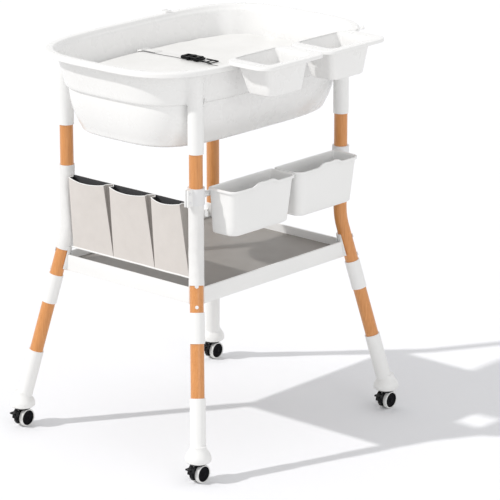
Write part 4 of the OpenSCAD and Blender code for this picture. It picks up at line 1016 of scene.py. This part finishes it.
def pocket_span(k):
    """The middle and the width of pocket k where it is sewn to the panel."""
    return (EDGES[k] + EDGES[k + 1]) * POCKET_HALF / 2, (EDGES[k] - EDGES[k + 1]) * POCKET_HALF - 1.6


def pocket_front(k, u, s):
    """A point of pocket k's front: u from -1 to 1 across, s from 0 at the foot to 1 at the mouth."""
    middle, width = pocket_span(k)
    out = 1.8 + s * 21.2
    bow = s * 7 * (1 - u * u)
    dip = -5.5 * (1 - u * u) * s ** 6
    y, z = middle + u * (width / 2 - s * 9), mix(POCKET_FOOT, MOUTH_Z, s) + dip
    return Vector((PANEL_X - 1.2 - out - bow, y, z))


def pocket_side(k, side, w, s):
    """The gusset: w from 0 at the panel to 1 at the front, folded in at its middle."""
    middle, width = pocket_span(k)
    at_panel = Vector((PANEL_X - 1.2, middle + side * width / 2, mix(POCKET_FOOT, MOUTH_Z, s)))
    point = at_panel.lerp(pocket_front(k, side, s), w)
    point.y -= side * 7.0 * s * (1 - abs(2 * w - 1))
    return point


def pocket_row(k, s):
    """Points round pocket k at the height s: a gusset, the front with its soft folds, the other gusset."""
    row = [pocket_side(k, 1, w / GUSSET_SPANS, s) for w in range(GUSSET_SPANS)]
    for u in (1 - 2 * i / POCKET_SPANS for i in range(POCKET_SPANS + 1)):
        point = pocket_front(k, u, s)
        slow, fine = (0, point.y, point.z), (0, point.y, point.z * 0.4)
        push = wobble(slow, 48, 1.5, k * 3.3) + wobble(fine, 17, 0.6, k * 1.9)
        point.x += push * (1 - u * u) * min(1, s * 4)
        row.append(point)
    return row + [pocket_side(k, -1, 1 - w / GUSSET_SPANS, s) for w in range(1, GUSSET_SPANS + 1)]


def pocket(k):
    grid = [pocket_row(k, j / POCKET_ROWS) for j in range(POCKET_ROWS + 1)]
    mouth = grid[-1]
    w = len(mouth)
    faces = [(j * w + i, j * w + i + 1, (j + 1) * w + i + 1, (j + 1) * w + i)
             for j in range(POCKET_ROWS) for i in range(w - 1)]
    name = "pocket_" + POCKET_NAMES[k]
    verts = [tuple(p) for row in grid for p in row]
    piece = make(name, verts, faces, "pocket", "frame", angle=34, welded=False)
    # Solidify gives the inner faces the look after the outer one's: near black, painted shade inside the
    # pockets
    for look in ("pocket_inside_shade", "gusset_shaded", "pocket_inside_shade"):
        piece.data.materials.append(MATERIALS[look])
    # The gusset faces get the darker look: painted shade
    for face in piece.data.polygons:
        column = face.index % (w - 1)
        if column < GUSSET_SPANS or column >= w - 1 - GUSSET_SPANS:
            face.material_index = 2
    modify(piece, "SOLIDIFY", thickness=POCKET_T * MM, offset=0.0, material_offset=1)
    smooth(piece.data, 34)
    edge = tube([p + Vector((0, 0, 0.5)) for p in mouth], 1.05)
    make(name + "_piping", *edge, "piping", "frame", angle=60)
    return piece


def organizer():
    organizer_panel()
    fabric_sleeve(-1)
    fabric_sleeve(1)
    pockets = [pocket(k) for k in range(3)]
    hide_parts("organizer_pockets")
    # White binding along the foot of the pockets
    points = [(PANEL_X - 3.4, u * (POCKET_HALF + 4), HEM_Z + 1.4 + wobble((0, u * 200, 0), 40, 0.5, 2.0))
              for u in (1 - 2 * i / 60 for i in range(61))]
    make("organizer_binding", *tube(points, 2.1), "piping", "frame", angle=60)


def collar_trim():
    """The front collar's clamp tab with its shim and screws, and the small plain tag sewn under it."""
    at = (-LEG_X, -LEG_Y, 0)
    low, top = COLLAR_TOP - 40, COLLAR_TOP + 1
    tab = [block((-35, -7.5, low), (-16, -3.4, top), at=at), block((-35, 0.6, low), (-16, 4.7, top), at=at),
           block((-22, -6, low + 3), (-14, 3.4, top - 3), at=at)]
    bevelled("collar_tab", tab, "white", "frame", edge=0.9, segments=3)
    shim = [block((-32, -3.6, low + 2), (-18, 0.8, top - 2), at=at)]
    bevelled("collar_shim", shim, "pale", "frame", edge=0.4)
    head = [(0.001, 0), (3.3, 0), (3.3, 1.2), (2.8, 1.9), (1.0, 2.1), (0.001, 2.1)]
    for height in (low + 10, low + 31):
        screw = lathe(head, (at[0] - 27, at[1] - 7.5, height), (0, -1, 0), n=28, closed=False)
        make("collar_screw_%d" % height, *screw, "pale", "frame")
    tag = []
    for s in (i / 6 for i in range(7)):
        x, y = at[0] + 15.5 + 7 * s, at[1] - 12 - 4 * math.sin(2 * s)
        tag += [(x, y, 619 - 5.5 * s), (x, y, 603 - 3.5 * s)]
    faces = [(2 * i, 2 * i + 2, 2 * i + 3, 2 * i + 1) for i in range(6)]
    label = make("plain_tag", tag, faces, "piping", "frame", welded=False)
    modify(label, "SOLIDIFY", thickness=0.6 * MM, offset=0.0)
    smooth(label.data, 50)


# Casters
WHEEL_TRAIL, WHEEL_Z, WHEEL_R, WHEEL_W = 4.0, 22.0, 22.0, 11.0
TYRE_INNER_R = 18.4


def wheels():
    """Both wheels of each caster: a white tyre with a rounded tread and a black hub with a stepped face."""
    r, width, inner = WHEEL_R, WHEEL_W, TYRE_INNER_R
    tyre = [(inner, 0.2), (inner, width - 0.9), (inner + 0.7, width), (r - 1.9, width),
            (r - 0.9, width - 0.4), (r - 0.3, width - 1.3), (r, width - 2.6), (r, 2.6),
            (r - 0.3, 1.3), (r - 0.9, 0.4), (r - 1.9, 0), (inner + 0.7, 0)]
    hub = [(2.6, 0.2), (inner - 0.1, 0.2), (inner - 0.1, width - 1.4), (inner - 0.8, width - 1.0),
           (15.6, width - 1.0), (15.0, width - 1.8), (6.6, width - 1.8), (6.0, width - 1.2),
           (5.0, width - 0.6), (1.2, width - 0.4), (1.1, width - 1.0), (0.001, width - 1.0),
           (0.001, width - 3.2), (2.6, width - 3.2)]
    for label, (sx, sy) in CORNERS.items():
        tyres, hubs = [], []
        for side in (-1, 1):
            at = (sx * FOOT_X + WHEEL_TRAIL, sy * FOOT_Y + side * 4.0, WHEEL_Z)
            tyres.append(lathe(tyre, at, (0, side, 0), n=72))
            hubs.append(lathe(hub, at, (0, side, 0), n=48))
        make("tyres_" + label, *join(*tyres), "tread", "wheels_" + label, "caster_tyres_" + label, angle=30)
        make("hubs_" + label, *join(*hubs), "black_hub", "wheels_" + label, "caster_hubs_" + label, angle=30)


# The shelf's knuckles end this far inside each leg's axis, and the cut covers these sizes round it
KNUCKLE_END = -11
CUT_OUT, CUT_HALF, CUT_HEIGHTS = 40, 34, (380.0, 466.0)


def shelf_frame():
    """The shelf's frame, whose knuckles cup only the inner side of each leg."""
    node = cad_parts["shelf_frame"]
    mesh = node.data.copy()
    mesh.transform(node.matrix_world)
    mesh.materials.clear()
    mesh.materials.append(MATERIALS["white"])
    piece = add_object("shelf_tray_frame", mesh)
    outline = ((KNUCKLE_END, -CUT_HALF), (CUT_OUT, -CUT_HALF), (CUT_OUT, CUT_HALF), (KNUCKLE_END, CUT_HALF))
    cuts = []
    for sx, sy in CORNERS.values():
        out = Vector((sx * (FOOT_X - LEG_X), sy * (FOOT_Y - LEG_Y), 0)).normalized()
        side = Vector((-out.y, out.x, 0))
        cuts.append(loft([[tuple(leg_point(sx, sy, z) + out * a + side * b) for a, b in outline]
                          for z in CUT_HEIGHTS]))
    tidy_mesh(piece.data)
    combine(piece, "DIFFERENCE", *join(*cuts))
    bevel(piece, 0.8, angle=50)
    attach(piece, "frame")
    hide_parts("shelf_frame")


# Finish of the CAD nodes that stay, by the start of their names
NODE_LOOKS = {
    "post": "white", "upper_tube": "wood", "lower_tube": "wood", "sleeve": "white", "foot": "white",
    "snap_button": "white", "caster_fork": "black", "brake_pedal": "dark_grey", "bin_rail": "metal",
    "rail_collars": "pale", "shelf_board": "shelf_grey", "shelf_bolts": "pale",
}


def dress_nodes():
    for name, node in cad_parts.items():
        for start, look in NODE_LOOKS.items():
            if name.startswith(start):
                node.data.materials.clear()
                node.data.materials.append(MATERIALS[look])


tub()
rim_clips()
drain_plug()
pad_board()
pad_top = top_finder(pad_cushion())
pad_piping()
belt(pad_top)
belt_clips(pad_top)
buckle_socket()
buckle_tongue()
for box_side in (-1, 1):
    top_box(box_side)
    storage_bin(box_side)
organizer()
collar_trim()
wheels()
shelf_frame()
dress_nodes()


# Stage: a pale seamless floor, one key lamp, a weak fill and a bright even sky
FLOOR_HALF = 30.0
FLOOR_LIT, FLOOR_SEEN = (0.82, 0.82, 0.82, 1), (0.965, 0.972, 1.0, 1)
AMBIENT = 0.68
# The key lamp shines down from the left and a little from behind
KEY_TRAVEL, FILL_TRAVEL = (0.65, -0.39, -0.65), (0.25, 0.93, -0.22)


def direct_rays(tree):
    """1 for what the camera sees, itself or in gloss and glass, and 0 for the light on the object."""
    rays = tree.nodes.new("ShaderNodeLightPath").outputs
    seen = rays["Is Camera Ray"]
    for kind in ("Is Glossy Ray", "Is Transmission Ray"):
        either = tree.nodes.new("ShaderNodeMath")
        either.operation = "MAXIMUM"
        tree.links.new(seen, either.inputs[0])
        tree.links.new(rays[kind], either.inputs[1])
        seen = either.outputs[0]
    return seen


def pale_floor():
    mesh = bpy.data.meshes.new("floor")
    corners = [(x * FLOOR_HALF, y * FLOOR_HALF, 0) for x, y in ((-1, -1), (1, -1), (1, 1), (-1, 1))]
    mesh.from_pydata(corners, [], [(0, 1, 2, 3)])
    add_object("floor", mesh)
    g = Graph("floor_white")
    colours = {"Factor": direct_rays(g.tree), "A": FLOOR_LIT, "B": FLOOR_SEEN}
    tone = g.node("ShaderNodeMix", colours, data_type="RGBA")
    diffuse = g.node("ShaderNodeBsdfDiffuse", {"Color": tone.outputs["Result"]})
    g.tree.links.new(diffuse.outputs[0], g.tree.nodes["Material Output"].inputs["Surface"])
    mesh.materials.append(g.material)


def sky():
    world = bpy.data.worlds.new("studio")
    bpy.context.scene.world = world
    world.use_nodes = True
    tree = world.node_tree
    level = tree.nodes.new("ShaderNodeMapRange")
    level.inputs["To Min"].default_value = AMBIENT
    level.inputs["To Max"].default_value = 1.0
    tree.links.new(direct_rays(tree), level.inputs["Value"])
    back = tree.nodes["Background"]
    back.inputs["Color"].default_value = (1, 1, 1, 1)
    tree.links.new(level.outputs[0], back.inputs["Strength"])


def sun(name, direction, strength, angle, colour=(1, 1, 1)):
    data = bpy.data.lights.new(name, "SUN")
    data.energy = strength
    data.angle = math.radians(angle)
    data.color = colour
    lamp = add_object(name, data)
    lamp.location = (0, 0, 3)
    aim(lamp, direction)


pale_floor()
sky()
sun("key", KEY_TRAVEL, 1.75, 1.6, (1.0, 0.985, 0.965))
sun("fill", FILL_TRAVEL, 0.4, 30.0)
bpy.context.scene.view_settings.view_transform = "Standard"
